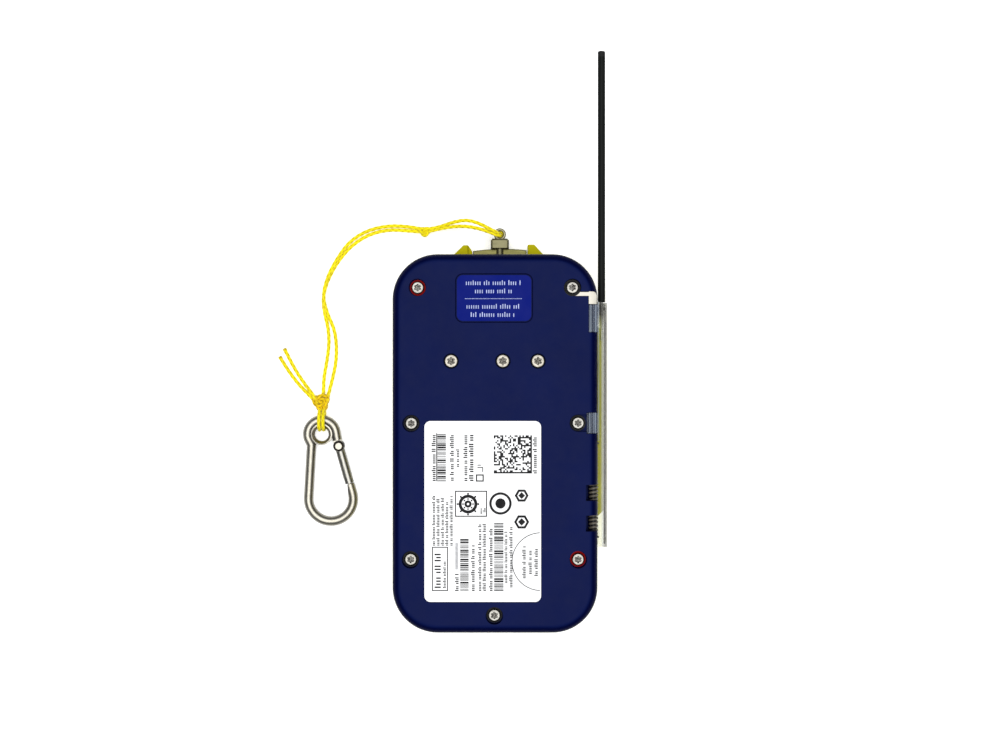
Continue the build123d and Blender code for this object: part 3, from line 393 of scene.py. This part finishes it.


# One material for each of the CAD's material slots, and the end knot's yarn, darker as painted
# shade. Colours are linear light.
BLUE = (0.001, 0.0046, 0.047)
# painted shade on the cover's rounded edges
BLUE_EDGE_PAINTED_SHADE = (0.0001, 0.0010, 0.022)
YELLOW = (0.415, 0.37, 0.003)
finishes = {
    "cover_blue": cover_plastic("cover_blue", BLUE, BLUE_EDGE_PAINTED_SHADE),
    "shell_yellow": moulded("shell_yellow", YELLOW, rough=(0.34, 0.46), tint=0.06, shine=0.015),
    "seal_rubber": rubber("seal_rubber", (0.012, 0.012, 0.013)),
    "screw_bright": screw_head("screw_bright", (0.17, 0.165, 0.15), CASE_HEAD_SHADE_LINE,
                               rough=(0.16, 0.4)),
    "screw_satin": screw_head("screw_satin", (0.22, 0.205, 0.175), INNER_HEAD_SHADE_LINE,
                              rough=(0.3, 0.5)),
    "washer_red": moulded("washer_red", (0.23, 0.001, 0.001), rough=(0.3, 0.42), grain=0.006,
                          shine=0.02),
    "insert_brass": steel("insert_brass", (0.72, 0.52, 0.22), rough=(0.2, 0.34)),
    "seal_label_blue": printed_film("seal_label_blue", (0.001, 0.0065, 0.140), shine=0.04),
    "label_white": printed_film("label_white", (0.86, 0.86, 0.86)),
    "label_front": printed_film("label_front", (0.80, 0.80, 0.77)),
    "retainer_nickel": retainer_coat("retainer_nickel", (0.68, 0.645, 0.555)),
    "guard_clear": clear_plastic("guard_clear"),
    "coil_black": moulded("coil_black", (0.10, 0.088, 0.068), rough=(0.28, 0.4), grain=0.006,
                          shine=0.3),
    "former_black": moulded("former_black", (0.008, 0.008, 0.009), rough=(0.4, 0.55)),
    "board_green": board_mask("board_green"),
    "ceramic_patch": moulded("ceramic_patch", (0.55, 0.45, 0.32), rough=(0.5, 0.7), grain=0.02),
    "can_tin": steel("can_tin", (0.72, 0.71, 0.68), rough=(0.22, 0.36)),
    "reed_glass": moulded("reed_glass", (0.70, 0.80, 0.74), rough=(0.05, 0.12), grain=0.003,
                          Transmission_Weight=0.8),
    "led_body": moulded("led_body", (0.80, 0.74, 0.45), rough=(0.2, 0.3)),
    "connector_white": moulded("connector_white", (0.75, 0.73, 0.66), rough=(0.4, 0.5)),
    "cell_sleeve": moulded("cell_sleeve", (0.05, 0.20, 0.10), rough=(0.2, 0.32), grain=0.006),
    "lead_red": moulded("lead_red", (0.42, 0.02, 0.015), rough=(0.35, 0.45)),
    "foam_grey": rubber("foam_grey", (0.16, 0.16, 0.17), rough=(0.8, 0.95)),
    "lens_clear": moulded("lens_clear", (0.88, 0.90, 0.90), rough=(0.04, 0.1), grain=0.002,
                          Transmission_Weight=0.9),
    "whip_black": whip_sleeve("whip_black"),
    "tip_black": rubber("tip_black", (0.008, 0.008, 0.008)),
    "foot_steel": steel("foot_steel", (0.16, 0.16, 0.15), rough=(0.25, 0.4)),
    "bow_steel": steel("bow_steel", (0.182, 0.170, 0.062), rough=(0.50, 0.60),
                       drawn_along_x=True),
    "collar_steel": steel("collar_steel", (0.135, 0.126, 0.070), rough=(0.44, 0.54),
                          drawn_along_x=True),
    "eye_steel": steel("eye_steel", (0.17, 0.158, 0.10), rough=(0.4, 0.5)),
    # each yarn's dark colour is painted shade in its grooves
    "cord_yellow": braided("cord_yellow", (0.93, 0.79, 0.002), dark=(0.42, 0.30, 0.0)),
    # the end knot's yarn: a darker copy of the cord's, with darker grooves, as painted shade
    "knot_yellow_painted_shade": braided("knot_yellow_painted_shade", (0.88, 0.60, 0.001), dark=(0.12, 0.055, 0.0)),
    "carabiner_steel": steel("carabiner_steel", (0.275, 0.26, 0.22), rough=(0.32, 0.42)),
    "gate_steel": gate_metal("gate_steel", (0.27, 0.262, 0.235)),
    "button_red": rubber("button_red", (0.50, 0.015, 0.012), rough=(0.42, 0.55)),
    "button_grey": rubber("button_grey", (0.16, 0.17, 0.18), rough=(0.42, 0.55)),
}
for part in frame["record"]["subparts"]:
    node = frame["nodes"][part["node"]]
    node.data.materials.clear()
    node.data.materials.append(finishes[part["material_slot"]])

BLACK_INK = ink("black_ink", (0.004, 0.004, 0.005))
GREY_INK = ink("grey_ink", (0.42, 0.42, 0.43))
# painted shade round the seal label, made with the ink shader
SHADE_INK = ink("shade_ink", (0.0002, 0.0008, 0.016), shine=0.01)
PAD_INK = ink("pad_ink", (0.72, 0.72, 0.70))
PALE_INK = ink("pale_ink", (0.38, 0.43, 0.64))


# ---- cords --------------------------------------------------------------------------
CORD_D = 1.3 * MM
# The strands' routes and the loops' shape repeat the CAD's. The routes go from
# the eye at the release pin to the cut ends past the end knot.
STRAND_A = [(1.4, 70.9, 7.4), (1.1, 71.1, 9.6), (-1.5, 72.3, 10.6), (-5.4, 74.5, 9.7),
            (-9.7, 75.9, 7.8), (-14.3, 75.4, 5.7), (-19.2, 73.8, 3.6), (-24.3, 73.0, 2.3),
            (-30.0, 74.2, 1.2), (-37.0, 74.6, 0.75), (-44.4, 73.0, 0.8), (-50.6, 69.0, 1.4),
            (-54.7, 63.2, 2.0), (-58.2, 56.6, 2.05), (-59.8, 50.0, 2.0), (-58.4, 44.2, 1.6),
            (-55.9, 38.8, 0.8), (-55.1, 33.0, 0.65), (-55.3, 27.0, 0.65), (-56.6, 21.0, 0.75),
            (-57.8, 16.2, 1.5), (-58.5, 12.7, 2.6), (-61.0, 12.2, 2.9), (-62.9, 15.5, 2.1),
            (-65.7, 19.0, 1.0), (-68.5, 22.9, 0.65), (-71.0, 27.3, 0.7), (-73.3, 31.9, 0.65)]
STRAND_B = [(2.0, 70.5, 7.4), (1.5, 70.2, 9.0), (-1.3, 71.3, 9.6), (-5.3, 72.8, 8.4),
            (-9.8, 73.8, 6.7), (-14.5, 73.9, 4.8), (-19.3, 73.3, 2.9), (-24.3, 72.2, 1.5),
            (-30.3, 72.8, 0.8), (-37.0, 73.2, 0.65), (-43.8, 71.6, 0.65), (-49.8, 67.8, 0.65),
            (-54.5, 62.4, 0.65), (-58.1, 56.0, 0.65), (-59.9, 50.0, 0.7), (-59.4, 44.4, 0.65),
            (-58.0, 39.0, 0.65), (-57.7, 33.4, 0.65), (-58.5, 27.4, 0.65), (-59.6, 21.4, 0.7),
            (-59.6, 16.8, 1.0), (-60.0, 13.4, 1.6), (-62.0, 12.8, 1.6), (-64.5, 15.7, 1.0),
            (-67.5, 18.5, 0.65), (-70.3, 22.0, 0.65), (-72.8, 25.6, 0.7), (-74.9, 29.1, 0.65)]
LOOP_SECTION = [(10.6, 3.4), (9.0, 5.2), (6.6, 5.85), (4.7, 5.5), (3.5, 3.3), (4.15, 0.9),
                (6.4, 0.66), (9.0, 0.7), (10.8, 1.5)]
LOOP_X = (-60.7, -59.3)

CURVE_STEPS = 24             # points made for each control point of a line
BRAID_SIDES = 28             # vertices round a cord
BRAID_STEP = 0.12 * MM       # from one ring of vertices to the next
BRAID_START = [0.3, 0.2, 0.93]   # a cord's first side is square to this
YARNS = 3                    # yarns that wind each way
CROSSING = 1.7               # length of one crossing, in cord diameters
YARN_FLANK = 1.8             # the higher, the steeper a yarn falls off to its sides
WEAVE = 0.35                 # how much a yarn rises over the others and dips under them
CORE = 0.74                  # radius where the relief is 0, in parts of the cord's
MELT_LENGTH = 0.9 * MM       # length of a melted end
MELT_SWELL = 0.22            # how much it swells
MELT_SETBACK = 1.3           # the higher, the farther from the tip the swelling is
MELT_DARK = 0.7              # how far the tip goes towards the grooves' dark colour


def smooth_line(points, closed=False):
    """The points of a NURBS curve with these control points, in metres."""
    data = bpy.data.curves.new("line", "CURVE")
    data.dimensions = "3D"
    data.resolution_u = CURVE_STEPS
    spline = data.splines.new("NURBS")
    spline.points.add(len(points) - 1)
    for point, (x, y, z) in zip(spline.points, points):
        point.co = (x * MM, y * MM, z * MM, 1.0)
    spline.order_u = 3
    spline.use_endpoint_u = not closed
    spline.use_cyclic_u = closed
    holder = new_object("line", data)
    line = bpy.data.meshes.new_from_object(holder)
    found = [v.co.copy() for v in line.vertices]
    bpy.data.objects.remove(holder)
    bpy.data.curves.remove(data)
    bpy.data.meshes.remove(line)
    return found


def even_steps(line, step):
    """The same line with points a fixed step apart, and each one's distance along it."""
    line = np.array(line)
    lengths = np.concatenate([[0], np.cumsum(np.linalg.norm(np.diff(line, axis=0), axis=1))])
    count = max(2, int(round(lengths[-1] / step)))
    at = np.linspace(0, lengths[-1], count + 1)
    return np.stack([np.interp(at, lengths, line[:, k]) for k in range(3)], 1), at


def directions_across(centre):
    """Two unit vectors square to a line at each of its points, that don't twist about it."""
    ahead = np.gradient(centre, axis=0)
    ahead /= np.linalg.norm(ahead, axis=1)[:, None]
    across = np.zeros_like(centre)
    across[0] = np.cross(ahead[0], BRAID_START)
    for i in range(1, len(centre)):
        across[i] = across[i - 1] - ahead[i] * (across[i - 1] @ ahead[i])
    across /= np.linalg.norm(across, axis=1)[:, None]
    return across, np.cross(ahead, across)


def yarn_height(turn, along):
    """The braid's relief, up to 1: two sets of yarns wind opposite ways and pass over and
    under each other. Turn is counted in turns and along in crossings."""
    u = YARNS * turn[None, :] + along[:, None]
    v = YARNS * turn[None, :] - along[:, None]
    du, dv = u - np.round(u), v - np.round(v)
    rise_u = np.sqrt(1 - (YARN_FLANK * du) ** 2) * (1 + WEAVE * np.cos(np.pi * (v + np.round(u))))
    rise_v = np.sqrt(1 - (YARN_FLANK * dv) ** 2) * (1 - WEAVE * np.cos(np.pi * (u + np.round(v))))
    return np.maximum(rise_u, rise_v) / (1 + WEAVE)


def tube_faces(rows, sides):
    """Faces between the rings of a tube, and fans to the two middle vertices after them."""
    first, last = rows * sides, rows * sides + 1
    faces = []
    for i in range(rows - 1):
        low, high = i * sides, (i + 1) * sides
        for j in range(sides):
            k = (j + 1) % sides
            faces.append((low + j, low + k, high + k, high + j))
    for j in range(sides):
        k = (j + 1) % sides
        faces.append((first, k, j))
        faces.append((last, (rows - 1) * sides + j, (rows - 1) * sides + k))
    return faces


def braid(name, line, diameter, melted=False, lead=0.0):
    """A braided cord as one closed skin, and its centre line. A melted far end swells a
    little and is darker. The braid's pattern starts lead metres along."""
    centre, at = even_steps(line, BRAID_STEP)
    across, up = directions_across(centre)
    turn = np.arange(BRAID_SIDES) / BRAID_SIDES
    rise = yarn_height(turn, (at + lead) / (CROSSING * diameter))
    radius = diameter / 2 * (CORE + (1 - CORE) * rise)
    if melted:
        molten = np.clip(1 - (at[-1] - at) / MELT_LENGTH, 0, 1)
        radius *= (1 + MELT_SWELL * np.sin(np.pi * np.minimum(1, molten * MELT_SETBACK)))[:, None]
        rise = rise * (1 - MELT_DARK * molten[:, None])
    angle = 2 * math.pi * turn[None, :, None]
    ring = np.cos(angle) * across[:, None, :] + np.sin(angle) * up[:, None, :]
    points = centre[:, None, :] + ring * radius[:, :, None]
    verts = np.concatenate([points.reshape(-1, 3), centre[:1], centre[-1:]])
    mesh = new_mesh(name, verts, tube_faces(len(centre), BRAID_SIDES))
    groove = mesh.attributes.new("groove", "FLOAT", "POINT")
    depth = np.concatenate([(1 - rise).ravel(), [1, 1]])
    groove.data.foreach_set("value", depth.astype(np.float32))
    return mesh, centre


def part_of_lanyard(piece, node):
    """The piece moves with the release pin and stands for one CAD node."""
    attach(piece, "release_pin")
    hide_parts(node)
    return piece


def strand(name, points, node, lead=0.0):
    mesh, centre = braid(name, smooth_line(points), CORD_D, melted=True, lead=lead)
    return part_of_lanyard(new_piece(name, mesh, finishes["cord_yellow"]), node), centre


strand_a, line_a = strand("strand_a", STRAND_A, "lanyard_strand_a")
strand_b, line_b = strand("strand_b", STRAND_B, "lanyard_strand_b", lead=0.4 * MM)


# ---- knots --------------------------------------------------------------------------
KNOT_POINTS = 30             # control points of one closed coil


def trefoil(centre, size, across=(1.0, 1.0), turn=0.0, taper=0.0):
    """Control points of an overhand knot's loops, drawn tight: size is the ring's radius,
    the strand's swing about it and its height. Across scales it along X and Y, and taper
    makes it wider towards +Y."""
    ring, swing, height = size
    points = []
    for i in range(KNOT_POINTS):
        t = 2 * math.pi * i / KNOT_POINTS
        r = ring + swing * math.cos(3 * t)
        x, y = r * math.cos(2 * t + turn), r * math.sin(2 * t + turn)
        x *= across[0] * (1 + taper * y / (ring + swing))
        points.append((centre[0] + x, centre[1] + y * across[1],
                       centre[2] + height * math.sin(3 * t)))
    return points


def knot(name, node, coils, diameter, finish="cord_yellow"):
    """Closed coils of cord, drawn tight into one piece."""
    parts = []
    for index, points in enumerate(coils):
        line = smooth_line(points, closed=True)
        mesh, _ = braid(f"{name}_part", line + line[:1], diameter)
        parts.append(new_piece(f"{name}_{index}", mesh, finishes[finish]))
    return part_of_lanyard(join(parts, name), node)


def eyelet_loops():
    """The doubled cord's two turns through the carabiner's eyelet."""
    parts = []
    for index, x in enumerate(LOOP_X):
        name = f"loop_{index}"
        mesh, _ = braid(name, smooth_line([(x, y, z) for y, z in LOOP_SECTION]), CORD_D)
        parts.append(new_piece(name, mesh, finishes["cord_yellow"]))
    return part_of_lanyard(join(parts, "eyelet_bight"), "eyelet_loop")


mid_knot = knot("middle_knot", "knot_mid", [
    trefoil((-24.4, 72.45, 1.9), (0.95, 0.62, 0.62), (1.15, 0.9), turn=0.5)], 1.25 * MM)
# the end knot's yarn carries more painted shade
end_knot = knot("end_knot", "knot_end", [
    trefoil((-60.25, 13.5, 2.5), (1.75, 0.62, 1.0), (1.1, 1.0), turn=0.9, taper=0.2),
    trefoil((-60.0, 11.4, 2.4), (0.95, 0.6, 0.9), (1.0, 1.25), turn=2.6, taper=0.2),
    trefoil((-60.0, 13.6, 3.0), (0.75, 0.35, 0.7), turn=0.2)], 1.35 * MM, "knot_yellow_painted_shade")
eye_knot = knot("tied_eye_knot", "eye_knot", [
    trefoil((1.7, 70.9, 5.9), (0.75, 0.4, 0.4))], 1.1 * MM)
bight = eyelet_loops()


# ---- prints on the labels, and the painted shade round the seal label ---------------
# A box is (x0, y0, x1, y1) in millimetres. Type on the rating label runs along +Y.
PRINT_T = 0.012 * MM         # thickness of the ink
RING_SIDES = 40
FILLED = 0.0001              # inner radius of a ring that is to look like a disc
LETTER = 0.5                 # from one letter to the next, in parts of the line's height
WORD_GAP = 0.9               # in letters
TOP_GAP = 0.25               # a plain letter's top is this far below the line's, in its height
ASCENDERS = (0.0, 0.0, 0.0, 0.28)    # how much higher a letter reaches
BARS = (0.2, 0.2, 0.34, 0.34, 0.6)   # a barcode's bars and gaps, drawn at random, in millimetres
BAR_GAPS = (0.17, 0.2, 0.34)


def print_piece(name, verts, faces, material, body="housing"):
    piece = new_piece(name, new_mesh(name, verts, faces, smooth=False), material)
    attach(piece, body)


def plates(name, boxes, base, material, body="housing", down=False):
    """Thin closed plates of ink that lie on the height base, or hang under it."""
    verts, faces = [], []
    levels = sorted((base, base - PRINT_T if down else base + PRINT_T))
    for x0, y0, x1, y1 in boxes:
        k = len(verts)
        for z in levels:
            verts += [(x0 * MM, y0 * MM, z), (x1 * MM, y0 * MM, z),
                      (x1 * MM, y1 * MM, z), (x0 * MM, y1 * MM, z)]
        faces += [(k + 3, k + 2, k + 1, k), (k + 4, k + 5, k + 6, k + 7)]
        for a in range(4):
            b = (a + 1) % 4
            faces.append((k + a, k + b, k + 4 + b, k + 4 + a))
    print_piece(name, verts, faces, material, body)


def disc_ring(base, x, y, outer, inner, count=RING_SIDES, start=0.0, end=2 * math.pi):
    """A flat closed ring, or part of one, as vertices and faces in metres."""
    verts, faces = [], []
    whole = end - start >= 2 * math.pi - 1e-6
    steps = count if whole else count + 1
    for i in range(steps):
        a = start + (end - start) * i / count
        for z in (base, base + PRINT_T):
            for r in (inner, outer):
                verts.append(((x + r * math.cos(a)) * MM, (y + r * math.sin(a)) * MM, z))
    for i in range(count):
        k, m = 4 * i, 4 * ((i + 1) % steps)
        faces += [(k, m, m + 1, k + 1), (k + 2, k + 3, m + 3, m + 2),
                  (k + 1, m + 1, m + 3, k + 3), (k, k + 2, m + 2, m)]
    if not whole:
        k = 4 * count
        faces += [(0, 1, 3, 2), (k, k + 2, k + 3, k + 1)]
    return verts, faces


def ring_piece(name, rings, base, material):
    """Rings of ink: each is x, y, outer and inner radius, and as wanted its number of sides
    and its first and last angle."""
    verts, faces = [], []
    for ring in rings:
        ring_verts, ring_faces = disc_ring(base, *ring)
        faces += [tuple(len(verts) + i for i in face) for face in ring_faces]
        verts += ring_verts
    print_piece(name, verts, faces, material)


def greeked(rng, x0, x1, y0, y1, weight=0.62, word=(2, 8)):
    """A line of unreadable type that runs along +Y: words of upright blocks. Weight is a
    block's width in letters."""
    boxes = []
    tall = x1 - x0
    letter = LETTER * tall
    y = y0
    while y < y1:
        for _ in range(rng.randint(*word)):
            if y + letter > y1:
                break
            ascender = rng.choice(ASCENDERS) * tall
            boxes.append((x0 + TOP_GAP * tall - ascender, y, x1, y + letter * weight))
            y += letter
        y += letter * WORD_GAP
    return boxes


def turned(boxes, y):
    """Boxes made for type along +Y, turned so that it runs along +X under the height y."""
    return [(y0, y - x1, y1, y - x0) for x0, y0, x1, y1 in boxes]


def barcode(rng, x0, x1, y0, y1):
    """Random bars that encode nothing, stacked along +Y."""
    boxes = []
    y = y0
    while y < y1 - BARS[0]:
        bar = rng.choice(BARS)
        boxes.append((x0, y, x1, min(y + bar, y1)))
        y += bar + rng.choice(BAR_GAPS)
    return boxes


def code_block(rng, x0, y0, x1, y1, cell):
    """A square field of random cells that encodes nothing. Two of its sides are full."""
    boxes = []
    across = int(round((x1 - x0) / cell))
    up = int(round((y1 - y0) / cell))
    for i in range(across):
        for j in range(up):
            if i == across - 1 or j == 0 or rng.random() < 0.5:
                boxes.append((x0 + i * cell, y0 + j * cell, x0 + (i + 1) * cell, y0 + (j + 1) * cell))
    return boxes


def outline(x0, y0, x1, y1, t):
    """The four sides of a frame, t wide."""
    return [(x0, y0, x1, y0 + t), (x0, y1 - t, x1, y1), (x0, y0 + t, x0 + t, y1 - t),
            (x1 - t, y0 + t, x1, y1 - t)]


def rating_print():
    """The rating label's type, bars and frames. Turned to be read, its top is at low x and
    its left side at low y."""
    rng = random.Random(11)
    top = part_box("rating_label")[1].z

    # right-hand column: bars under a rule and a line of type, then four more lines
    boxes = barcode(rng, -19.0, -16.2, -12.4, 3.5) + [(-19.4, -12.4, -19.05, 3.5)]
    for x0, x1, y0, y1 in [(-20.9, -19.6, -12.3, 3.5), (-14.9, -13.6, -12.2, 3.2),
                           (-12.9, -11.8, -7.6, -1.1), (-10.4, -9.1, -12.3, 3.5),
                           (-8.6, -7.1, -12.3, 3.5)]:
        boxes += greeked(rng, x0, x1, y0, y1)

    # three strokes and a small frame, then the code block with its line of type
    boxes += [(-5.8, -8.0, -3.9, -7.7), (-4.2, -9.3, -3.9, -8.0), (-5.8, -7.2, -4.6, -6.9)]
    boxes += outline(-6.3, -12.5, -3.7, -10.1, 0.42)
    boxes += code_block(rng, -0.4, -9.8, 12.2, 3.0, 0.525)
    boxes += greeked(rng, 12.5, 13.8, -9.8, 3.0)

    # middle column: the frame round the toothed ring with two words in it, and five lines
    boxes += outline(-13.2, -24.1, -2.6, -15.5, 0.36)
    boxes += greeked(rng, -5.0, -4.2, -23.2, -21.2) + greeked(rng, -3.9, -3.1, -22.6, -20.6)
    for i in range(5):
        x = -20.8 + 1.45 * i
        boxes += greeked(rng, x, x + 1.05, -33.6, -15.0 - rng.uniform(0, 4))

    # left-hand column: the framed heading, two sets of bars and lines of type about them
    boxes += outline(-20.8, -48.6, -15.5, -34.0, 0.32)
    boxes += greeked(rng, -19.9, -17.9, -47.6, -35.0, 0.5, (3, 4))
    boxes += greeked(rng, -17.2, -16.2, -47.6, -38.5)
    boxes += greeked(rng, -13.2, -12.0, -48.6, -42.5)
    boxes += barcode(rng, -11.5, -8.7, -48.6, -31.4)
    for x0, x1, y1 in [(-7.9, -6.7, -33.0), (-5.6, -4.5, -26.0), (-4.1, -3.0, -26.0),
                       (-2.0, -0.8, -27.0)]:
        boxes += greeked(rng, x0, x1, -48.6, y1)
    boxes += barcode(rng, -0.3, 2.8, -48.6, -25.8)
    boxes += greeked(rng, 3.1, 4.1, -46.0, -28.6) + greeked(rng, 4.7, 5.8, -47.4, -27.2)

    # the lines in the half circle
    for x0, y0, y1 in [(9.0, -44.4, -33.6), (11.0, -43.0, -35.0), (13.0, -43.6, -34.4)]:
        boxes += greeked(rng, x0, x0 + 1.15, y0, y1)
    plates("rating_print", boxes, top, BLACK_INK)
    plates("rating_greys", [(-13.1, -41.5, -12.2, -32.6)], top, GREY_INK)


def rating_symbols():
    """Neutral marks that stand in for the rating label's symbols: a toothed ring, a ringed
    dot, two hexagons and a half circle."""
    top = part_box("rating_label")[1].z
    x, y = -8.9, -19.9
    rings = [(x, y, 3.1, 2.1), (x, y, 1.2, 0.4), (1.8, -19.7, 3.7, 2.9), (1.8, -19.7, 1.7, FILLED)]
    for k in range(8):
        a = math.pi / 4 * k
        for orbit, radius in ((1.65, 0.3), (3.4, 0.34)):
            rings.append((x + orbit * math.cos(a), y + orbit * math.sin(a), radius, FILLED, 10))
    for y, r in ((-17.1, 2.3), (-25.8, 2.5)):
        rings += [(8.8, y, r, r - 0.85, 6), (8.8, y, 0.5 * r, FILLED, 4)]
    rings.append((15.15, -38.9, 9.65, 9.4, 60, math.radians(92), math.radians(268)))
    ring_piece("rating_symbols", rings, top, BLACK_INK)


def seal_print():
    """Four lines of greeked type and a dashed rule on the seal label."""
    rng = random.Random(5)
    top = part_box("seal_label")[1].z
    tall = 1.5
    boxes = []
    for x0, x1, y in [(-9.6, 8.9, 52.4), (-6.6, 6.0, 49.7), (-9.4, 9.0, 44.6), (-8.0, 7.4, 41.9)]:
        boxes += turned(greeked(rng, 0, tall, x0, x1, 0.42, (3, 7)), y + tall)
    dash, step = 0.28, 0.45
    x = -9.9
    while x < 9.0:
        boxes.append((x, 47.78, x + dash, 48.0))
        x += step
    plates("seal_print", boxes, top, PALE_INK)


def seal_painted_shade():
    """A line of painted shade round the seal label, on the rim of the cover's recess."""
    low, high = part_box("seal_label")
    x0, x1, y0, y1 = low.x / MM, high.x / MM, low.y / MM, high.y / MM
    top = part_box("back_cover")[1].z
    gap, width, corner = 0.31, 0.3, 2.0
    near, far = gap, gap + width
    rings = []
    for x, y, turn in ((x1 - corner, y1 - corner, 0), (x0 + corner, y1 - corner, 1),
                       (x0 + corner, y0 + corner, 2), (x1 - corner, y0 + corner, 3)):
        start = turn * math.pi / 2
        rings.append((x, y, corner + far, corner + near, 12, start, start + math.pi / 2))
    ring_piece("seal_painted_shade_corners", rings, top, SHADE_INK)
    sides = [(x0 - far, y0 + corner, x0 - near, y1 - corner),
             (x1 + near, y0 + corner, x1 + far, y1 - corner),
             (x0 + corner, y0 - far, x1 - corner, y0 - near),
             (x0 + corner, y1 + near, x1 - corner, y1 + far)]
    plates("seal_painted_shade_sides", sides, top, SHADE_INK)


def front_print():
    """Lines of greeked type on the front label, which faces down."""
    rng = random.Random(23)
    low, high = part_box("front_label")
    side, head, foot = 2.5, 5.0, 4.0
    tall, pitch, ragged = 1.4, 2.7, 12
    x0, x1 = low.x / MM + side, high.x / MM - side
    y = high.y / MM - head
    boxes = []
    while y > low.y / MM + foot:
        boxes += turned(greeked(rng, 0, tall, x0, x1 - rng.uniform(0, ragged), 0.5, (3, 8)), y)
        y -= pitch
    plates("front_print", boxes, low.z, BLACK_INK, down=True)


def button_mark(name, button, size):
    """A neutral frame with a dot on a button's face. Size is half the frame's."""
    low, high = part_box(button)
    x, y = (low.x + high.x) / 2 / MM, (low.y + high.y) / 2 / MM
    dot = 0.3 * size
    boxes = outline(x - size, y - size, x + size, y + size, 0.5)
    boxes.append((x - dot, y - dot, x + dot, y + dot))
    plates(name, boxes, low.z, PAD_INK, body=button, down=True)


rating_print()
rating_symbols()
seal_print()
seal_painted_shade()
front_print()
button_mark("activate_mark", "activate_button", 2.0)
button_mark("test_mark", "test_button", 1.5)


# ---- camera, floor and light --------------------------------------------------------
# The floor and the light are in metres.
CAMERA_AT = Vector((1.65, 22.7, 527.0)) * MM
SENSOR_WIDTH, FOCAL_LENGTH = 36.0, 54.54     # millimetres
FLOOR_HALF = 3.0
FLOOR_Z = -0.00002           # just under the beacon, so that the two never share a plane
SOFTBOX_AT, SOFTBOX_AIM = (0.0, 0.02, 1.3), (0, 0.02, 0)
SOFTBOX_SIZE, SOFTBOX_POWER = 1.25, 26.0
SKY, SKY_STRENGTH = (0.9, 0.95, 1.0), 0.22


def place_camera():
    """Looks straight down on the back cover."""
    camera = new_object("camera", bpy.data.cameras.new("camera"))
    camera.location = CAMERA_AT
    camera.data.sensor_width = SENSOR_WIDTH
    camera.data.lens = FOCAL_LENGTH
    camera.data.clip_start = 0.01
    camera.data.clip_end = 20.0
    bpy.context.scene.camera = camera


def stage_floor():
    """White floor with a little light of its own."""
    n = Nodes("floor")
    clouds, gloss = n.noise(14, 3), n.noise(120)
    material = n.set(Base_Color=n.blend(n.span(clouds), (0.90, 0.90, 0.90), (0.93, 0.93, 0.93)),
                     Roughness=n.span(gloss, 0.7, 0.9), Emission_Color=(1.0, 1.0, 1.0),
                     Emission_Strength=0.30)
    corners = [(-1, -1), (1, -1), (1, 1), (-1, 1)]
    verts = [(FLOOR_HALF * x, FLOOR_HALF * y, FLOOR_Z) for x, y in corners]
    new_piece("floor", new_mesh("floor", verts, [(0, 1, 2, 3)]), material)


def softbox():
    data = bpy.data.lights.new("softbox", "AREA")
    data.shape = "RECTANGLE"
    data.size = data.size_y = SOFTBOX_SIZE
    data.energy = SOFTBOX_POWER
    lamp = new_object("softbox", data)
    lamp.location = SOFTBOX_AT
    aim = Vector(SOFTBOX_AIM) - Vector(SOFTBOX_AT)
    lamp.rotation_euler = aim.to_track_quat("-Z", "Y").to_euler()


def surroundings():
    world = bpy.data.worlds.new("studio")
    world.use_nodes = True
    background = world.node_tree.nodes["Background"]
    background.inputs["Color"].default_value = (*SKY, 1)
    background.inputs["Strength"].default_value = SKY_STRENGTH
    bpy.context.scene.world = world
    bpy.context.scene.view_settings.view_transform = "Standard"


place_camera()
stage_floor()
softbox()
surroundings()
